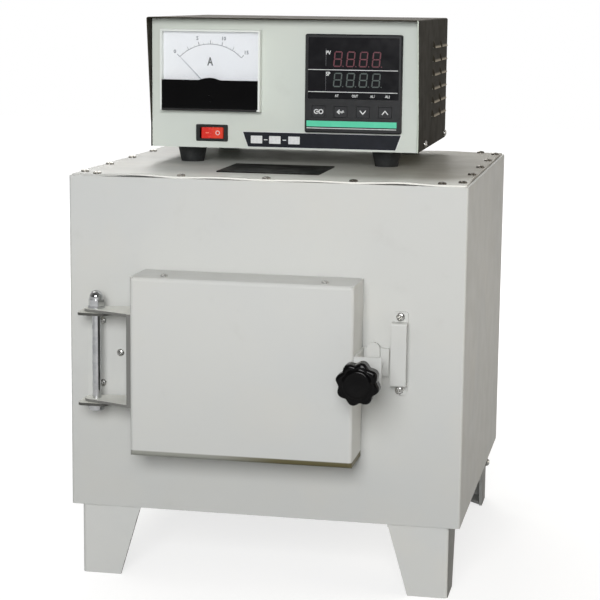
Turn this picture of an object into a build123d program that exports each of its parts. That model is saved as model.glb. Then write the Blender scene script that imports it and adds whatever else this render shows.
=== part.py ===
"""Small box-type muffle furnace with its temperature controller standing on the casing.

Millimetres, +Z up, the door faces -Y.  The floor is z = 0, x = 0 is the middle of the casing,
and y = 0 is half-way between the knob's face and the terminal cover at the back.
Sizes that start with a piece's name belong to that piece; the places are worked out from them.
"""
import os
from math import cos, radians, sin

from build123d import *

os.makedirs("parts", exist_ok=True)

# ---- Casing -----------------------------------------------------------------------------
casing_width = 376.0
casing_depth = 362.0
casing_height = 318.0
sheet = 1.5                     # casing and door sheet
casing_bend = 2.5               # outside radius of the casing's front bends
top_fold = 24.0                 # width of the inward fold that carries the top cover
rear_fold = 18.0
bottom_lip = 15.0               # upturned lip of the bottom tray
cover_inset = 2.5               # top cover's edge, from the casing's side
cover_screws_across = 5
cover_screws_along = 5
cover_screw_side_inset = 8.0
cover_screw_end_inset = 25.0
cover_screw_radius = 4.0
cover_screw_height = 2.2
cover_shank_radius = 2.0
cover_row_inset = 9.0          # front and rear rows, from the casing's front and rear
blank_plate_width = 100.0
blank_plate_length = 85.0
blank_plate_thickness = 1.0
blank_plate_corner = 2.0
blank_plate_set_back = 99.0     # middle of the plate, behind the casing's front

# ---- Legs -------------------------------------------------------------------------------
leg_height = 68.5
leg_inset = 10.0                # leg's outer face, from the casing's side
leg_set_back = 1.5              # leg's front face, from the casing's front
leg_top_width = 58.0
leg_foot_width = 38.0
leg_sheet = 3.0
leg_bend = 4.0
leg_bolt_near = 14.0            # bolt places on the leg's top flange, from the outer corner
leg_bolt_far = 36.0
leg_bolt_radius = 3.0
leg_bolt_head = 4.0
leg_bolt_flats = 10.0
earth_bolt_radius = 4.6
earth_bolt_height = 5.0
earth_bolt_drop = 24.0          # earth bolt, below the casing
earth_bolt_from_rear = 17.0

# ---- Chamber and insulation -------------------------------------------------------------
chamber_width = 120.0
chamber_height = 80.0
chamber_depth = 200.0
muffle_wall = 20.0
muffle_corner = 4.0
throat_depth = 45.0
throat_flare = 7.0              # how much wider the throat's mouth is, each side
throat_wall = 28.0
window_margin = 9.0             # front sheet's opening beyond the throat's mouth, each side
soft_gap = 0.4                  # between insulation and what it lies against
element_radius = 3.5            # outside of a wound heating element
element_wire = 1.2
element_collar = 1.5            # end turn that joins the coil to its lead
element_channel_radius = 3.9
elements_across = 5
element_pitch = 22.0
lead_radius = 2.0
sheath_radius = 5.0
sheath_bore = 3.2
sheath_reach = 25.0             # into the chamber
sheath_rise = 20.0              # above the chamber's middle
clearance = 0.3                 # plain clearance round a piece in a hole

# ---- Back of the casing -----------------------------------------------------------------
rear_box_depth = 46.0
rear_box_width = 130.0
rear_box_height = 84.0
rear_box_flange = 12.0
rear_box_flange_step = 4.0      # flange's ends, from the box's top and bottom
rear_box_corner = 2.0
slots_across = 5
slots_up = 3
slot_pitch_across = 18.0
slot_pitch_up = 12.0
slot_length = 14.0
slot_width = 4.0
terminal_board_width = 86.0
terminal_board_height = 34.0
terminal_board_thickness = 12.0
terminal_board_corner = 3.0
terminal_window_inset = 7.0     # rear panel's opening, inside the board's edge
barrier_width = 4.0
barrier_height = 6.0
terminal_nut_flats = 9.0
terminal_nut_height = 5.0
couple_head_radius = 20.0
couple_head_depth = 30.0
gland_thread_radius = 8.0
gland_bore_radius = 4.6
gland_length = 22.0
gland_nut_flats = 22.0
gland_nut_height = 8.0
gland_lock_height = 4.0
controller_gland_inset = 40.0   # from the controller's right side
controller_gland_rise = 30.0
thread_fit = 0.1                # radial room round a shank in its hole

# ---- Door -------------------------------------------------------------------------------
door_width = 208.0
door_height = 167.0
door_depth = 50.0
door_gap = 2.0                  # between the casing's front and the door's back edge
door_inset = 74.0               # door's left side, from the casing's
door_rise = 148.5               # middle of door and chamber, above the casing's bottom
door_bend = 3.5
door_corner_relief = 1.2
door_screw_spread = 150.0
door_screw_from_front = 15.0
door_screw_radius = 3.4
door_screw_height = 2.0
door_shank_radius = 1.6
plug_reach = 22.0               # how far the plug enters the throat
plug_side_gap = 4.0             # plug's root, from the throat's mouth
plug_taper = 7.0                # how much narrower the plug's tip is, each side

# ---- Hinge ------------------------------------------------------------------------------
hinge_pin_side = 41.0           # pin's axis, from the door's side
hinge_rise = 3.0                # middle of the hinge, above the door's middle
hinge_pin_out = 22.0            # pin's axis, in front of the casing
hinge_pin_radius = 4.0
hinge_fit = 0.08                # radial running clearance on the pin
hinge_plate = 2.5
hinge_span = 88.0               # over the fixed bracket's two ears
hinge_ear_gap = 0.3
hinge_fixed_left = 15.0         # fixed ear's end, from the pin's axis
hinge_fixed_right = 27.0        # fixed back plate's edge, from the pin's axis
hinge_fixed_reach = 36.0
hinge_ear_radius = 11.0
hinge_ear_corner = 5.0
hinge_ear_root = 6.0            # ear's short end, beyond the back plate's face
hinge_web = 4.0
hinge_web_set_back = 3.0        # web's front edge, behind the door's front
hinge_back_clearance = 1.0      # door bracket's rear edge, from the fixed back plate
hinge_screw_radius = 3.4
hinge_screw_height = 2.0
hinge_shank_radius = 2.0
hinge_screw_side = 17.5         # middle screw, to the right of the outer two
hinge_screw_pitch = 30.0
nut_flats = 13.0
nut_hex_height = 6.5
nut_dome_radius = 6.2
nut_height = 15.0
washer_radius = 8.0
washer_thickness = 1.6
washer_gap = 0.2
bolt_head_radius = 7.3
bolt_head_height = 6.5
bolt_head_round = 1.2
bolt_end = 1.0                  # bolt's end, beyond the nut's hexagon

# ---- Latch ------------------------------------------------------------------------------
latch_rise = 4.7                # spindle's axis, above the door's middle
latch_out = 11.5                # spindle's axis, from the door's side
latch_bracket_width = 25.5
latch_bracket_height = 26.0
latch_bracket_rise = 6.9        # bracket's middle, above the door's middle
latch_bracket_sheet = 2.0
latch_bracket_front = 2.0       # front flange, behind the door's front
latch_bracket_back = 1.0        # rear flange, in front of the door's back edge
spindle_radius = 5.0
spindle_fit = 0.08
spindle_tail = 0.8              # spindle's end, behind the rear flange
press_fit = 0.03
small_bevel = 0.6
collar_radius = 7.5
collar_thickness = 5.0
cam_thickness = 3.5
cam_hub_radius = 8.5
cam_reach = 21.0
cam_width = 12.0
cam_gap = 0.7                   # cam, in front of the rear flange
knob_radius = 20.0
knob_lobes = 8
knob_scallop_radius = 8.0
knob_scallop_depth = 2.6
knob_lobe_round = 2.4
knob_turn = -14.0               # first lobe, from the right-hand side
knob_thickness = 16.0
knob_edge = 2.5
knob_hub_radius = 10.0
knob_hub_root = 8.0
knob_hub_length = 10.0
knob_stand_off = 24.0           # bare spindle between the bracket and the knob's hub
keeper_gap = 2.5                # between the latch bracket and the keeper
keeper_width = 14.3
keeper_sheet = 2.0
keeper_slot = 10.5              # room behind the keeper's bridge
keeper_below = 17.0             # bridge's lower end, below the spindle's axis
keeper_above = 38.0
keeper_foot = 11.5
keeper_corner = 3.0
keeper_screw_radius = 3.9
keeper_screw_height = 2.2
keeper_shank_radius = 2.0

# ---- Controller -------------------------------------------------------------------------
controller_width = 267.6
controller_height = 127.0
controller_depth = 218.0
controller_inset = 42.0         # controller's left side, from the casing's
controller_from_rear = 6.0      # controller's rear wall, in front of the casing's rear
controller_sheet = 1.2
cover_overhang = 16.0           # cover's front edge at the top, in front of the panel
cover_flush_height = 22.0       # height below which the cover is flush with the panel
cover_fit = 0.3
cover_bend = 2.0
louvre_rows = 6
louvre_columns = 2
louvre_pitch = 14.0
louvre_height = 7.5
louvre_length = 46.0
louvre_column_pitch = 57.0
louvre_first_column = 122.0     # middle of the first column, behind the panel
louvre_drop = 24.0              # top row, below the top
louvre_bulge = 3.0
controller_foot_height = 16.4
controller_foot_top = 15.0      # radius under the tray
controller_foot_bottom = 11.5
controller_foot_inset = 34.0
controller_foot_front = 30.0
side_screw_rise = 5.0
side_screw_front = 49.0
side_screw_back = 9.0
small_screw_radius = 3.2
small_screw_height = 1.6
side_shank_radius = 1.4
heat_sink_width = 120.0
heat_sink_height = 70.0
heat_sink_depth = 40.0
heat_sink_base = 6.0
heat_sink_fins = 8
heat_sink_fin = 2.5
heat_sink_inset = 30.0          # from the controller's left side
heat_sink_from_rear = 25.0

# ---- Ammeter (places from the panel's lower left corner) --------------------------------
meter_left = 10.3
meter_bottom = 36.8
meter_width = 102.0
meter_height = 80.0
meter_depth = 10.0              # in front of the panel
meter_wall = 2.0
meter_rim_round = 0.8
meter_fit = 0.1                 # window and skirt, from the case's rim and each other
meter_flange = 2.5
meter_can_radius = 30.0
meter_can_depth = 38.0
meter_post_radius = 1.5
dial_thickness = 0.8
pane_thickness = 1.6
pane_recess = 0.3               # pane's face, behind the rim's
skirt_height = 30.5
skirt_depth = 11.0
skirt_wall = 2.0
skirt_round = 1.0
skirt_boss_radius = 26.0
skirt_boss_rise = 2.3           # boss's crown, above the skirt's upper edge
needle_pivot_rise = 21.3        # needle's pivot, above the meter's lower edge
needle_length = 43.0
needle_tail = 9.0
needle_tip_width = 0.5
needle_tail_width = 1.6
needle_hub_radius = 3.5
needle_gap = 1.4                # between the dial and the needle
needle_sweep = 90.0
needle_thickness = 0.6
zero_screw_radius = 3.2
zero_screw_rise = 12.6
zero_screw_proud = 0.6
zero_screw_slot = 1.0
zero_screw_slot_depth = 0.9
turning_fit = 0.08

# ---- Switch -----------------------------------------------------------------------------
switch_left = 45.5
switch_bottom = 6.5
switch_width = 32.5
switch_height = 16.5
switch_rim = 2.0
switch_body_depth = 20.0
switch_corner = 1.2
switch_bevel = 0.6
rocker_width = 24.0
rocker_height = 11.0
rocker_tilt = 8.0
rocker_gap = 0.35
rocker_pivot_depth = 3.5        # behind the panel
rocker_well = 7.5               # well's floor, behind the pivot
rocker_dish = 1.6               # how far the rocker's middle lies below its ends
rocker_heel = 6.0
rocker_heel_half = 4.0

# ---- Instrument -------------------------------------------------------------------------
instrument_right = 15.1         # from the panel's right edge
instrument_bottom = 18.0
instrument_size = 96.0
instrument_proud = 5.0
instrument_body = 90.0
instrument_body_depth = 70.0
instrument_rim = 3.0
instrument_corner = 2.0
instrument_bevel = 1.2
lens_bottom = 33.0              # display window, above the instrument's lower edge
lens_thickness = 2.0
lens_fit = 0.1
lens_recess = 0.3
key_count = 4
key_width = 13.0
key_height = 11.0
key_rise = 20.7
key_pitch = 22.0
key_row_middle = 47.0           # from the instrument's left edge
key_travel = 0.8
key_proud = 0.2
key_gap = 0.2
key_pocket = 4.5
key_corner = 1.2
key_bevel = 0.3

# ---- Places worked out from the sizes ---------------------------------------------------
knob_out = (door_gap + door_depth - latch_bracket_front + knob_stand_off
            + knob_hub_length + knob_thickness)
front_y = -(casing_depth + rear_box_depth - knob_out) / 2
back_y = front_y + casing_depth
rear_sheet_y = back_y - sheet
half_width = casing_width / 2
casing_bottom = leg_height
casing_top = casing_bottom + casing_height
cover_top = casing_top + sheet
door_z = casing_bottom + door_rise
door_left = -half_width + door_inset
door_right = door_left + door_width
door_x = door_left + door_width / 2
door_back_y = front_y - door_gap
door_front_y = door_back_y - door_depth
hinge_pin_x = door_left - hinge_pin_side
controller_left = -half_width + controller_inset


def level(z):
    """Horizontal plane at height z."""
    return Plane.XY.offset(z)


def upright(y):
    """Plane square to Y at y; its sketches are seen from the front and extrude forwards."""
    return Plane.XZ.offset(-y)


def sideways(x):
    """Plane square to X at x; sketch x is Y, sketch y is Z, and it extrudes towards +X."""
    return Plane.YZ.offset(x)


def screw_solid(head_radius, head_height, shank_radius, shank_length):
    """Round-headed screw with its seat at the origin and its head along +Z."""
    crown = head_height * 0.55
    with BuildPart(mode=Mode.PRIVATE) as screw:
        with BuildSketch(Plane.XZ):
            with BuildLine():
                Polyline(
                    (0, -shank_length),
                    (shank_radius, -shank_length),
                    (shank_radius, 0),
                    (head_radius, 0),
                    (head_radius, head_height - crown),
                )
                Line((head_radius, head_height - crown), (head_radius * 0.6, head_height))
                Line((head_radius * 0.6, head_height), (0, head_height))
                Line((0, head_height), (0, -shank_length))
            make_face()
        revolve(axis=Axis.Z)
    return screw.part


# =========================================================================================
# Casing
# =========================================================================================
with BuildPart() as casing_shell:
    # Front and sides are one bent sheet, open to the rear.
    with BuildSketch(level(casing_bottom)) as casing_plan:
        with Locations((0, (front_y + rear_sheet_y) / 2)):
            Rectangle(casing_width, rear_sheet_y - front_y)
        fillet(casing_plan.vertices().group_by(Axis.Y)[0], casing_bend)
    extrude(amount=casing_height)
    with BuildSketch(level(casing_bottom)) as casing_room:
        with Locations((0, (front_y + sheet + rear_sheet_y) / 2)):
            Rectangle(casing_width - 2 * sheet, rear_sheet_y - front_y - sheet)
        fillet(casing_room.vertices().group_by(Axis.Y)[0], casing_bend - sheet)
    extrude(amount=casing_height - sheet, mode=Mode.SUBTRACT)
    # The top is open inside its fold.
    with BuildSketch(level(casing_top - sheet)):
        with Locations((0, (front_y + top_fold + rear_sheet_y) / 2)):
            Rectangle(casing_width - 2 * top_fold, rear_sheet_y - front_y - top_fold)
    extrude(amount=sheet, mode=Mode.SUBTRACT)
    # Folds at the back edges, for the rear panel.
    for side in (-1, 1):
        with BuildSketch(level(casing_bottom + bottom_lip + sheet)):
            with Locations((side * (half_width - sheet - rear_fold / 2), rear_sheet_y - sheet / 2)):
                Rectangle(rear_fold, sheet)
        extrude(amount=casing_height - bottom_lip - 2 * sheet)
    # Opening round the furnace mouth.
    with BuildSketch(upright(front_y + sheet)):
        with Locations((door_x, door_z)):
            Rectangle(
                chamber_width + 2 * (throat_flare + window_margin),
                chamber_height + 2 * (throat_flare + window_margin),
            )
    extrude(amount=sheet, mode=Mode.SUBTRACT)
casing_shell.part.label = "casing_shell"
export_step(casing_shell.part, "parts/casing_shell.step")

terminal_z = door_z - chamber_height / 2 - muffle_wall / 2
couple_z = door_z + sheath_rise
window_width = terminal_board_width - 2 * terminal_window_inset
window_height = terminal_board_height - 2 * terminal_window_inset

with BuildPart() as rear_panel:
    with BuildSketch(upright(back_y)) as rear_outline:
        with Locations((0, casing_bottom + casing_height / 2)):
            Rectangle(casing_width, casing_height)
        fillet(rear_outline.vertices(), casing_bend)
        with Locations((door_x, terminal_z)):
            Rectangle(window_width, window_height, mode=Mode.SUBTRACT)
        with Locations((door_x, couple_z)):
            Circle(sheath_radius + clearance, mode=Mode.SUBTRACT)
    extrude(amount=sheet)
rear_panel.part.label = "rear_panel"
export_step(rear_panel.part, "parts/rear_panel.step")

# Legs stand in from the corners; the bolt places serve the leg, the tray and the bolts.
leg_x = half_width - leg_inset
leg_front_y = front_y + leg_set_back
leg_rear_y = back_y - leg_set_back
leg_bolt_places = []
for x_side in (-1, 1):
    for y_edge, y_side in ((leg_front_y, 1), (leg_rear_y, -1)):
        for along, across in ((leg_bolt_near, leg_bolt_far), (leg_bolt_far, leg_bolt_near)):
            leg_bolt_places.append((x_side * (leg_x - along), y_edge + y_side * across))

tray_width = casing_width - 2 * (sheet + clearance)
tray_front = front_y + sheet + clearance
tray_back = rear_sheet_y - clearance
with BuildPart() as bottom_tray:
    with BuildSketch(level(casing_bottom)):
        with Locations((0, (tray_front + tray_back) / 2)):
            Rectangle(tray_width, tray_back - tray_front)
    extrude(amount=bottom_lip)
    with BuildSketch(level(casing_bottom + sheet)):
        with Locations((0, (tray_front + tray_back) / 2)):
            Rectangle(tray_width - 2 * sheet, tray_back - tray_front - 2 * sheet)
    extrude(amount=bottom_lip, mode=Mode.SUBTRACT)
    with BuildSketch(level(casing_bottom)):
        with Locations(*leg_bolt_places):
            Circle(leg_bolt_radius + clearance)
    extrude(amount=sheet, mode=Mode.SUBTRACT)
bottom_tray.part.label = "bottom_tray"
export_step(bottom_tray.part, "parts/bottom_tray.step")

# Screws round the top cover: rows at the front and rear, columns along the sides.
row_half = half_width - cover_screw_end_inset
row_y_half = casing_depth / 2 - cover_row_inset
column_x = half_width - cover_screw_side_inset
column_half = casing_depth / 2 - cover_screw_end_inset
middle_y = (front_y + back_y) / 2
cover_screw_places = []
for number in range(cover_screws_across):
    x = -row_half + 2 * row_half * number / (cover_screws_across - 1)
    cover_screw_places += [(x, middle_y - row_y_half), (x, middle_y + row_y_half)]
for number in range(cover_screws_along):
    y = middle_y - column_half + 2 * column_half * number / (cover_screws_along - 1)
    cover_screw_places += [(-column_x, y), (column_x, y)]

with BuildPart() as top_cover:
    with BuildSketch(level(casing_top)) as cover_outline:
        with Locations((0, middle_y)):
            Rectangle(casing_width - 2 * cover_inset, casing_depth - 2 * cover_inset)
        fillet(cover_outline.vertices(), casing_bend)
        with Locations(*cover_screw_places):
            Circle(cover_shank_radius + thread_fit, mode=Mode.SUBTRACT)
    extrude(amount=sheet)
top_cover.part.label = "top_cover"
export_step(top_cover.part, "parts/top_cover.step")

cover_screw = screw_solid(cover_screw_radius, cover_screw_height, cover_shank_radius, sheet)
with BuildPart() as top_cover_screws:
    with Locations(*[(x, y, cover_top) for x, y in cover_screw_places]):
        add(cover_screw)
top_cover_screws.part.label = "top_cover_screws"
export_step(top_cover_screws.part, "parts/top_cover_screws.step")

with BuildPart() as blank_plate:
    with BuildSketch(level(cover_top)):
        with Locations((door_x, front_y + blank_plate_set_back)):
            RectangleRounded(blank_plate_width, blank_plate_length, blank_plate_corner)
    extrude(amount=blank_plate_thickness)
blank_plate.part.label = "blank_plate"
export_step(blank_plate.part, "parts/blank_plate.step")

# =========================================================================================
# Legs: one bent corner leg, and its mirror images
# =========================================================================================
with BuildPart() as front_right_leg:
    # Front cheek, narrowing to the foot.
    with BuildSketch(upright(leg_front_y + leg_sheet)):
        with BuildLine():
            Polyline(
                (leg_x, 0),
                (leg_x, leg_height),
                (leg_x - leg_top_width, leg_height),
                (leg_x - leg_foot_width, 0),
                close=True,
            )
        make_face()
    extrude(amount=leg_sheet)
    # Side cheek.
    with BuildSketch(sideways(leg_x - leg_sheet)):
        with BuildLine():
            Polyline(
                (leg_front_y, 0),
                (leg_front_y, leg_height),
                (leg_front_y + leg_top_width, leg_height),
                (leg_front_y + leg_foot_width, 0),
                close=True,
            )
        make_face()
    extrude(amount=leg_sheet)
    # Triangular flanges: bolted to the tray at the top, standing on the floor below.
    for z, reach in ((leg_height - leg_sheet, leg_top_width), (0, leg_foot_width)):
        with BuildSketch(level(z)):
            with BuildLine():
                Polyline(
                    (leg_x, leg_front_y),
                    (leg_x - reach, leg_front_y),
                    (leg_x, leg_front_y + reach),
                    close=True,
                )
            make_face()
        extrude(amount=leg_sheet)
    outer_bend = front_right_leg.edges().filter_by(Axis.Z).sort_by(Axis.X)[-1]
    fillet(outer_bend, leg_bend)
    with BuildSketch(level(leg_height - leg_sheet)):
        with Locations(
            (leg_x - leg_bolt_near, leg_front_y + leg_bolt_far),
            (leg_x - leg_bolt_far, leg_front_y + leg_bolt_near),
        ):
            Circle(leg_bolt_radius + clearance)
    extrude(amount=leg_sheet, mode=Mode.SUBTRACT)
front_right_leg.part.label = "front_right_leg"
export_step(front_right_leg.part, "parts/front_right_leg.step")

with BuildPart() as front_left_leg:
    add(mirror(front_right_leg.part, about=Plane.YZ, mode=Mode.PRIVATE))
front_left_leg.part.label = "front_left_leg"
export_step(front_left_leg.part, "parts/front_left_leg.step")

with BuildPart() as rear_right_leg:
    add(mirror(front_right_leg.part, about=Plane.XZ.offset(-middle_y), mode=Mode.PRIVATE))
rear_right_leg.part.label = "rear_right_leg"
export_step(rear_right_leg.part, "parts/rear_right_leg.step")

with BuildPart() as rear_left_leg:
    add(mirror(rear_right_leg.part, about=Plane.YZ, mode=Mode.PRIVATE))
rear_left_leg.part.label = "rear_left_leg"
export_step(rear_left_leg.part, "parts/rear_left_leg.step")

with BuildPart() as leg_bolts:
    with BuildSketch(level(leg_height - leg_sheet)):
        with Locations(*leg_bolt_places):
            RegularPolygon(leg_bolt_flats / 2, 6, major_radius=False)
    extrude(amount=-leg_bolt_head)
    with BuildSketch(level(leg_height - leg_sheet)):
        with Locations(*leg_bolt_places):
            Circle(leg_bolt_radius)
    extrude(amount=leg_sheet + sheet)
leg_bolts.part.label = "leg_bolts"
export_step(leg_bolts.part, "parts/leg_bolts.step")

earth_bolt_y = leg_rear_y - earth_bolt_from_rear
earth_bolt_z = leg_height - earth_bolt_drop
earth_nut_height = earth_bolt_height * 0.45
with BuildPart() as earth_bolt:
    with BuildSketch(sideways(leg_x)):
        with Locations((earth_bolt_y, earth_bolt_z)):
            RegularPolygon(earth_bolt_radius, 6, major_radius=True)
    extrude(amount=earth_nut_height)
    with Locations(Plane(origin=(leg_x + earth_nut_height, earth_bolt_y, earth_bolt_z), z_dir=(1, 0, 0))):
        add(screw_solid(earth_bolt_radius * 0.85, earth_bolt_height - earth_nut_height, 1.0, 1.0))
earth_bolt.part.label = "earth_bolt"
export_step(earth_bolt.part, "parts/earth_bolt.step")

# =========================================================================================
# Chamber and insulation
# =========================================================================================
throat_front_y = front_y + sheet + clearance
muffle_front_y = throat_front_y + throat_depth
muffle_back_y = muffle_front_y + chamber_depth + muffle_wall
block_width = chamber_width + 2 * (throat_flare + throat_wall)
block_height = chamber_height + 2 * (throat_flare + throat_wall)
muffle_width = chamber_width + 2 * muffle_wall
muffle_height = chamber_height + 2 * muffle_wall

with BuildPart() as throat_block:
    with BuildSketch(upright(muffle_front_y)):
        with Locations((door_x, door_z)):
            Rectangle(block_width, block_height)
    extrude(amount=throat_depth)
    with BuildSketch(upright(muffle_front_y)):
        with Locations((door_x, door_z)):
            Rectangle(chamber_width, chamber_height)
    with BuildSketch(upright(throat_front_y)):
        with Locations((door_x, door_z)):
            Rectangle(chamber_width + 2 * throat_flare, chamber_height + 2 * throat_flare)
    loft(mode=Mode.SUBTRACT)
throat_block.part.label = "throat_block"
export_step(throat_block.part, "parts/throat_block.step")

element_places = []
for number in range(elements_across):
    x = door_x + (number - (elements_across - 1) / 2) * element_pitch
    for side in (-1, 1):
        element_places.append((x, door_z + side * (chamber_height + muffle_wall) / 2))

with BuildPart() as muffle:
    with BuildSketch(upright(muffle_back_y)) as muffle_outline:
        with Locations((door_x, door_z)):
            Rectangle(muffle_width, muffle_height)
        fillet(muffle_outline.vertices(), muffle_corner)
    extrude(amount=chamber_depth + muffle_wall)
    with BuildSketch(upright(muffle_back_y - muffle_wall)) as chamber_outline:
        with Locations((door_x, door_z)):
            Rectangle(chamber_width, chamber_height)
    extrude(amount=chamber_depth, mode=Mode.SUBTRACT)
    with BuildSketch(upright(muffle_back_y)):
        with Locations(*element_places):
            Circle(element_channel_radius)
        with Locations((door_x, couple_z)):
            Circle(sheath_radius + clearance)
    extrude(amount=chamber_depth + muffle_wall, mode=Mode.SUBTRACT)
muffle.part.label = "muffle"
export_step(muffle.part, "parts/muffle.step")

# Each element is a wound coil in its channel; the two lower ones beside the middle lead out.
lead_places = [(door_x - element_pitch, terminal_z), (door_x + element_pitch, terminal_z)]
board_front_y = back_y + terminal_board_thickness
lead_end_y = board_front_y + terminal_nut_height + lead_radius
with BuildPart() as heating_elements:
    with BuildSketch(upright(muffle_back_y)):
        with Locations(*element_places):
            Circle(element_radius)
            Circle(element_radius - element_wire, mode=Mode.SUBTRACT)
    extrude(amount=chamber_depth + muffle_wall)
    with BuildSketch(upright(lead_end_y)):
        with Locations(*lead_places):
            Circle(lead_radius)
    extrude(amount=lead_end_y - muffle_back_y)
    with BuildSketch(upright(muffle_back_y + element_collar)):
        with Locations(*lead_places):
            Circle(element_radius)
    extrude(amount=element_collar)
heating_elements.part.label = "heating_elements"
export_step(heating_elements.part, "parts/heating_elements.step")

# Fibre packing: a square tube round throat and muffle, and a slab behind the muffle.
wool_half_width = half_width - 2 * sheet - clearance - soft_gap
wool_bottom = casing_bottom + sheet + soft_gap
wool_top = casing_top - sheet - soft_gap
wool_back = rear_sheet_y - sheet - 2 * soft_gap
with BuildPart() as wool_packing:
    with BuildSketch(upright(muffle_back_y)):
        with Locations((0, (wool_bottom + wool_top) / 2)):
            Rectangle(2 * wool_half_width, wool_top - wool_bottom)
    extrude(amount=muffle_back_y - throat_front_y - sheet - soft_gap)
    with BuildSketch(upright(muffle_back_y)):
        with Locations((door_x, door_z)):
            Rectangle(muffle_width + 2 * soft_gap, muffle_height + 2 * soft_gap)
    extrude(amount=muffle_back_y - muffle_front_y, mode=Mode.SUBTRACT)
    with BuildSketch(upright(muffle_front_y + soft_gap)):
        with Locations((door_x, door_z)):
            Rectangle(block_width + 2 * soft_gap, block_height + 2 * soft_gap)
    extrude(amount=throat_depth + soft_gap, mode=Mode.SUBTRACT)
wool_packing.part.label = "wool_packing"
export_step(wool_packing.part, "parts/wool_packing.step")

with BuildPart() as rear_insulation:
    with BuildSketch(upright(wool_back)):
        with Locations((0, (wool_bottom + wool_top) / 2)):
            Rectangle(2 * wool_half_width, wool_top - wool_bottom)
        with Locations(*lead_places):
            Circle(lead_radius + soft_gap, mode=Mode.SUBTRACT)
        with Locations((door_x, couple_z)):
            Circle(sheath_radius + soft_gap, mode=Mode.SUBTRACT)
    extrude(amount=wool_back - muffle_back_y - soft_gap)
    with BuildSketch(upright(muffle_back_y + element_collar + soft_gap)):
        with Locations(*lead_places):
            Circle(element_radius + soft_gap)
    extrude(amount=element_collar + soft_gap, mode=Mode.SUBTRACT)
rear_insulation.part.label = "rear_insulation"
export_step(rear_insulation.part, "parts/rear_insulation.step")

with BuildPart() as thermocouple_sheath:
    sheath_front_y = muffle_back_y - muffle_wall - sheath_reach
    with BuildSketch(upright(back_y)):
        with Locations((door_x, couple_z)):
            Circle(sheath_radius)
    extrude(amount=back_y - sheath_front_y)
    with BuildSketch(upright(back_y)):
        with Locations((door_x, couple_z)):
            Circle(sheath_bore)
    extrude(amount=back_y - sheath_front_y - sheath_bore, mode=Mode.SUBTRACT)
    tip = thermocouple_sheath.edges().filter_by(GeomType.CIRCLE).group_by(Axis.Y)[0]
    fillet(tip, sheath_radius * 0.6)
thermocouple_sheath.part.label = "thermocouple_sheath"
export_step(thermocouple_sheath.part, "parts/thermocouple_sheath.step")

with BuildPart() as thermocouple_head:
    # Turned flange, neck and connection head, with a side spout for its lead.
    with BuildSketch(Plane(origin=(door_x, back_y, couple_z), x_dir=(0, 0, 1), z_dir=(-1, 0, 0))):
        with BuildLine():
            Polyline(
                (0, 0),
                (couple_head_radius * 0.8, 0),
                (couple_head_radius * 0.8, 3),
                (couple_head_radius * 0.45, 3),
                (couple_head_radius * 0.45, couple_head_depth * 0.3),
                (couple_head_radius * 0.9, couple_head_depth * 0.45),
                (couple_head_radius * 0.9, couple_head_depth * 0.8),
                (couple_head_radius, couple_head_depth * 0.8),
                (couple_head_radius, couple_head_depth * 0.92),
                (couple_head_radius * 0.85, couple_head_depth),
                (0, couple_head_depth),
                close=True,
            )
        make_face()
    revolve(axis=Axis((door_x, back_y, couple_z), (0, 1, 0)))
    with BuildSketch(
        Plane(
            origin=(door_x, back_y + couple_head_depth * 0.6, couple_z),
            z_dir=(1, 0, 0),
        )
    ):
        Circle(couple_head_radius * 0.28)
    extrude(amount=couple_head_radius + 5)
thermocouple_head.part.label = "thermocouple_head"
export_step(thermocouple_head.part, "parts/thermocouple_head.step")

with BuildPart() as terminal_board:
    with BuildSketch(upright(board_front_y)) as board_outline:
        with Locations((door_x, terminal_z)):
            Rectangle(terminal_board_width, terminal_board_height)
        fillet(board_outline.vertices(), terminal_board_corner)
        with Locations(*lead_places):
            Circle(lead_radius + thread_fit, mode=Mode.SUBTRACT)
    extrude(amount=terminal_board_thickness)
    # Raised barrier between the two terminals.
    with BuildSketch(upright(board_front_y + barrier_height)):
        with Locations((door_x, terminal_z)):
            Rectangle(barrier_width, terminal_board_height)
    extrude(amount=barrier_height)
terminal_board.part.label = "terminal_board"
export_step(terminal_board.part, "parts/terminal_board.step")

with BuildPart() as terminal_nuts:
    with BuildSketch(upright(board_front_y + terminal_nut_height)):
        with Locations(*lead_places):
            RegularPolygon(terminal_nut_flats / 2, 6, major_radius=False)
            Circle(lead_radius + thread_fit, mode=Mode.SUBTRACT)
    extrude(amount=terminal_nut_height)
terminal_nuts.part.label = "terminal_nuts"
export_step(terminal_nuts.part, "parts/terminal_nuts.step")

gland_y = back_y + rear_box_depth / 2
gland_z = terminal_z - rear_box_height / 2
with BuildPart() as terminal_cover:
    with BuildSketch(upright(back_y + rear_box_depth)) as box_outline:
        with Locations((door_x, terminal_z)):
            Rectangle(rear_box_width, rear_box_height)
        fillet(box_outline.vertices(), rear_box_corner)
    extrude(amount=rear_box_depth)
    with BuildSketch(upright(back_y + rear_box_depth - sheet)):
        with Locations((door_x, terminal_z)):
            Rectangle(rear_box_width - 2 * sheet, rear_box_height - 2 * sheet)
    extrude(amount=rear_box_depth, mode=Mode.SUBTRACT)
    # Outward ears that screw to the rear panel.
    with BuildSketch(upright(back_y + sheet)):
        for side in (-1, 1):
            with Locations(
                (door_x + side * (rear_box_width + rear_box_flange - sheet) / 2, terminal_z)
            ):
                Rectangle(rear_box_flange + sheet, rear_box_height - 2 * rear_box_flange_step)
    extrude(amount=sheet)
    # Slots that let the terminals' heat out.
    with BuildSketch(upright(back_y + rear_box_depth)):
        with GridLocations(slot_pitch_across, slot_pitch_up, slots_across, slots_up):
            with Locations((door_x, terminal_z)):
                SlotOverall(slot_length, slot_width)
    extrude(amount=sheet, mode=Mode.SUBTRACT)
    # Hole for the cable gland.
    with BuildSketch(level(gland_z)):
        with Locations((door_x, gland_y)):
            Circle(gland_thread_radius + thread_fit)
    extrude(amount=sheet, mode=Mode.SUBTRACT)
terminal_cover.part.label = "terminal_cover"
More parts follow.
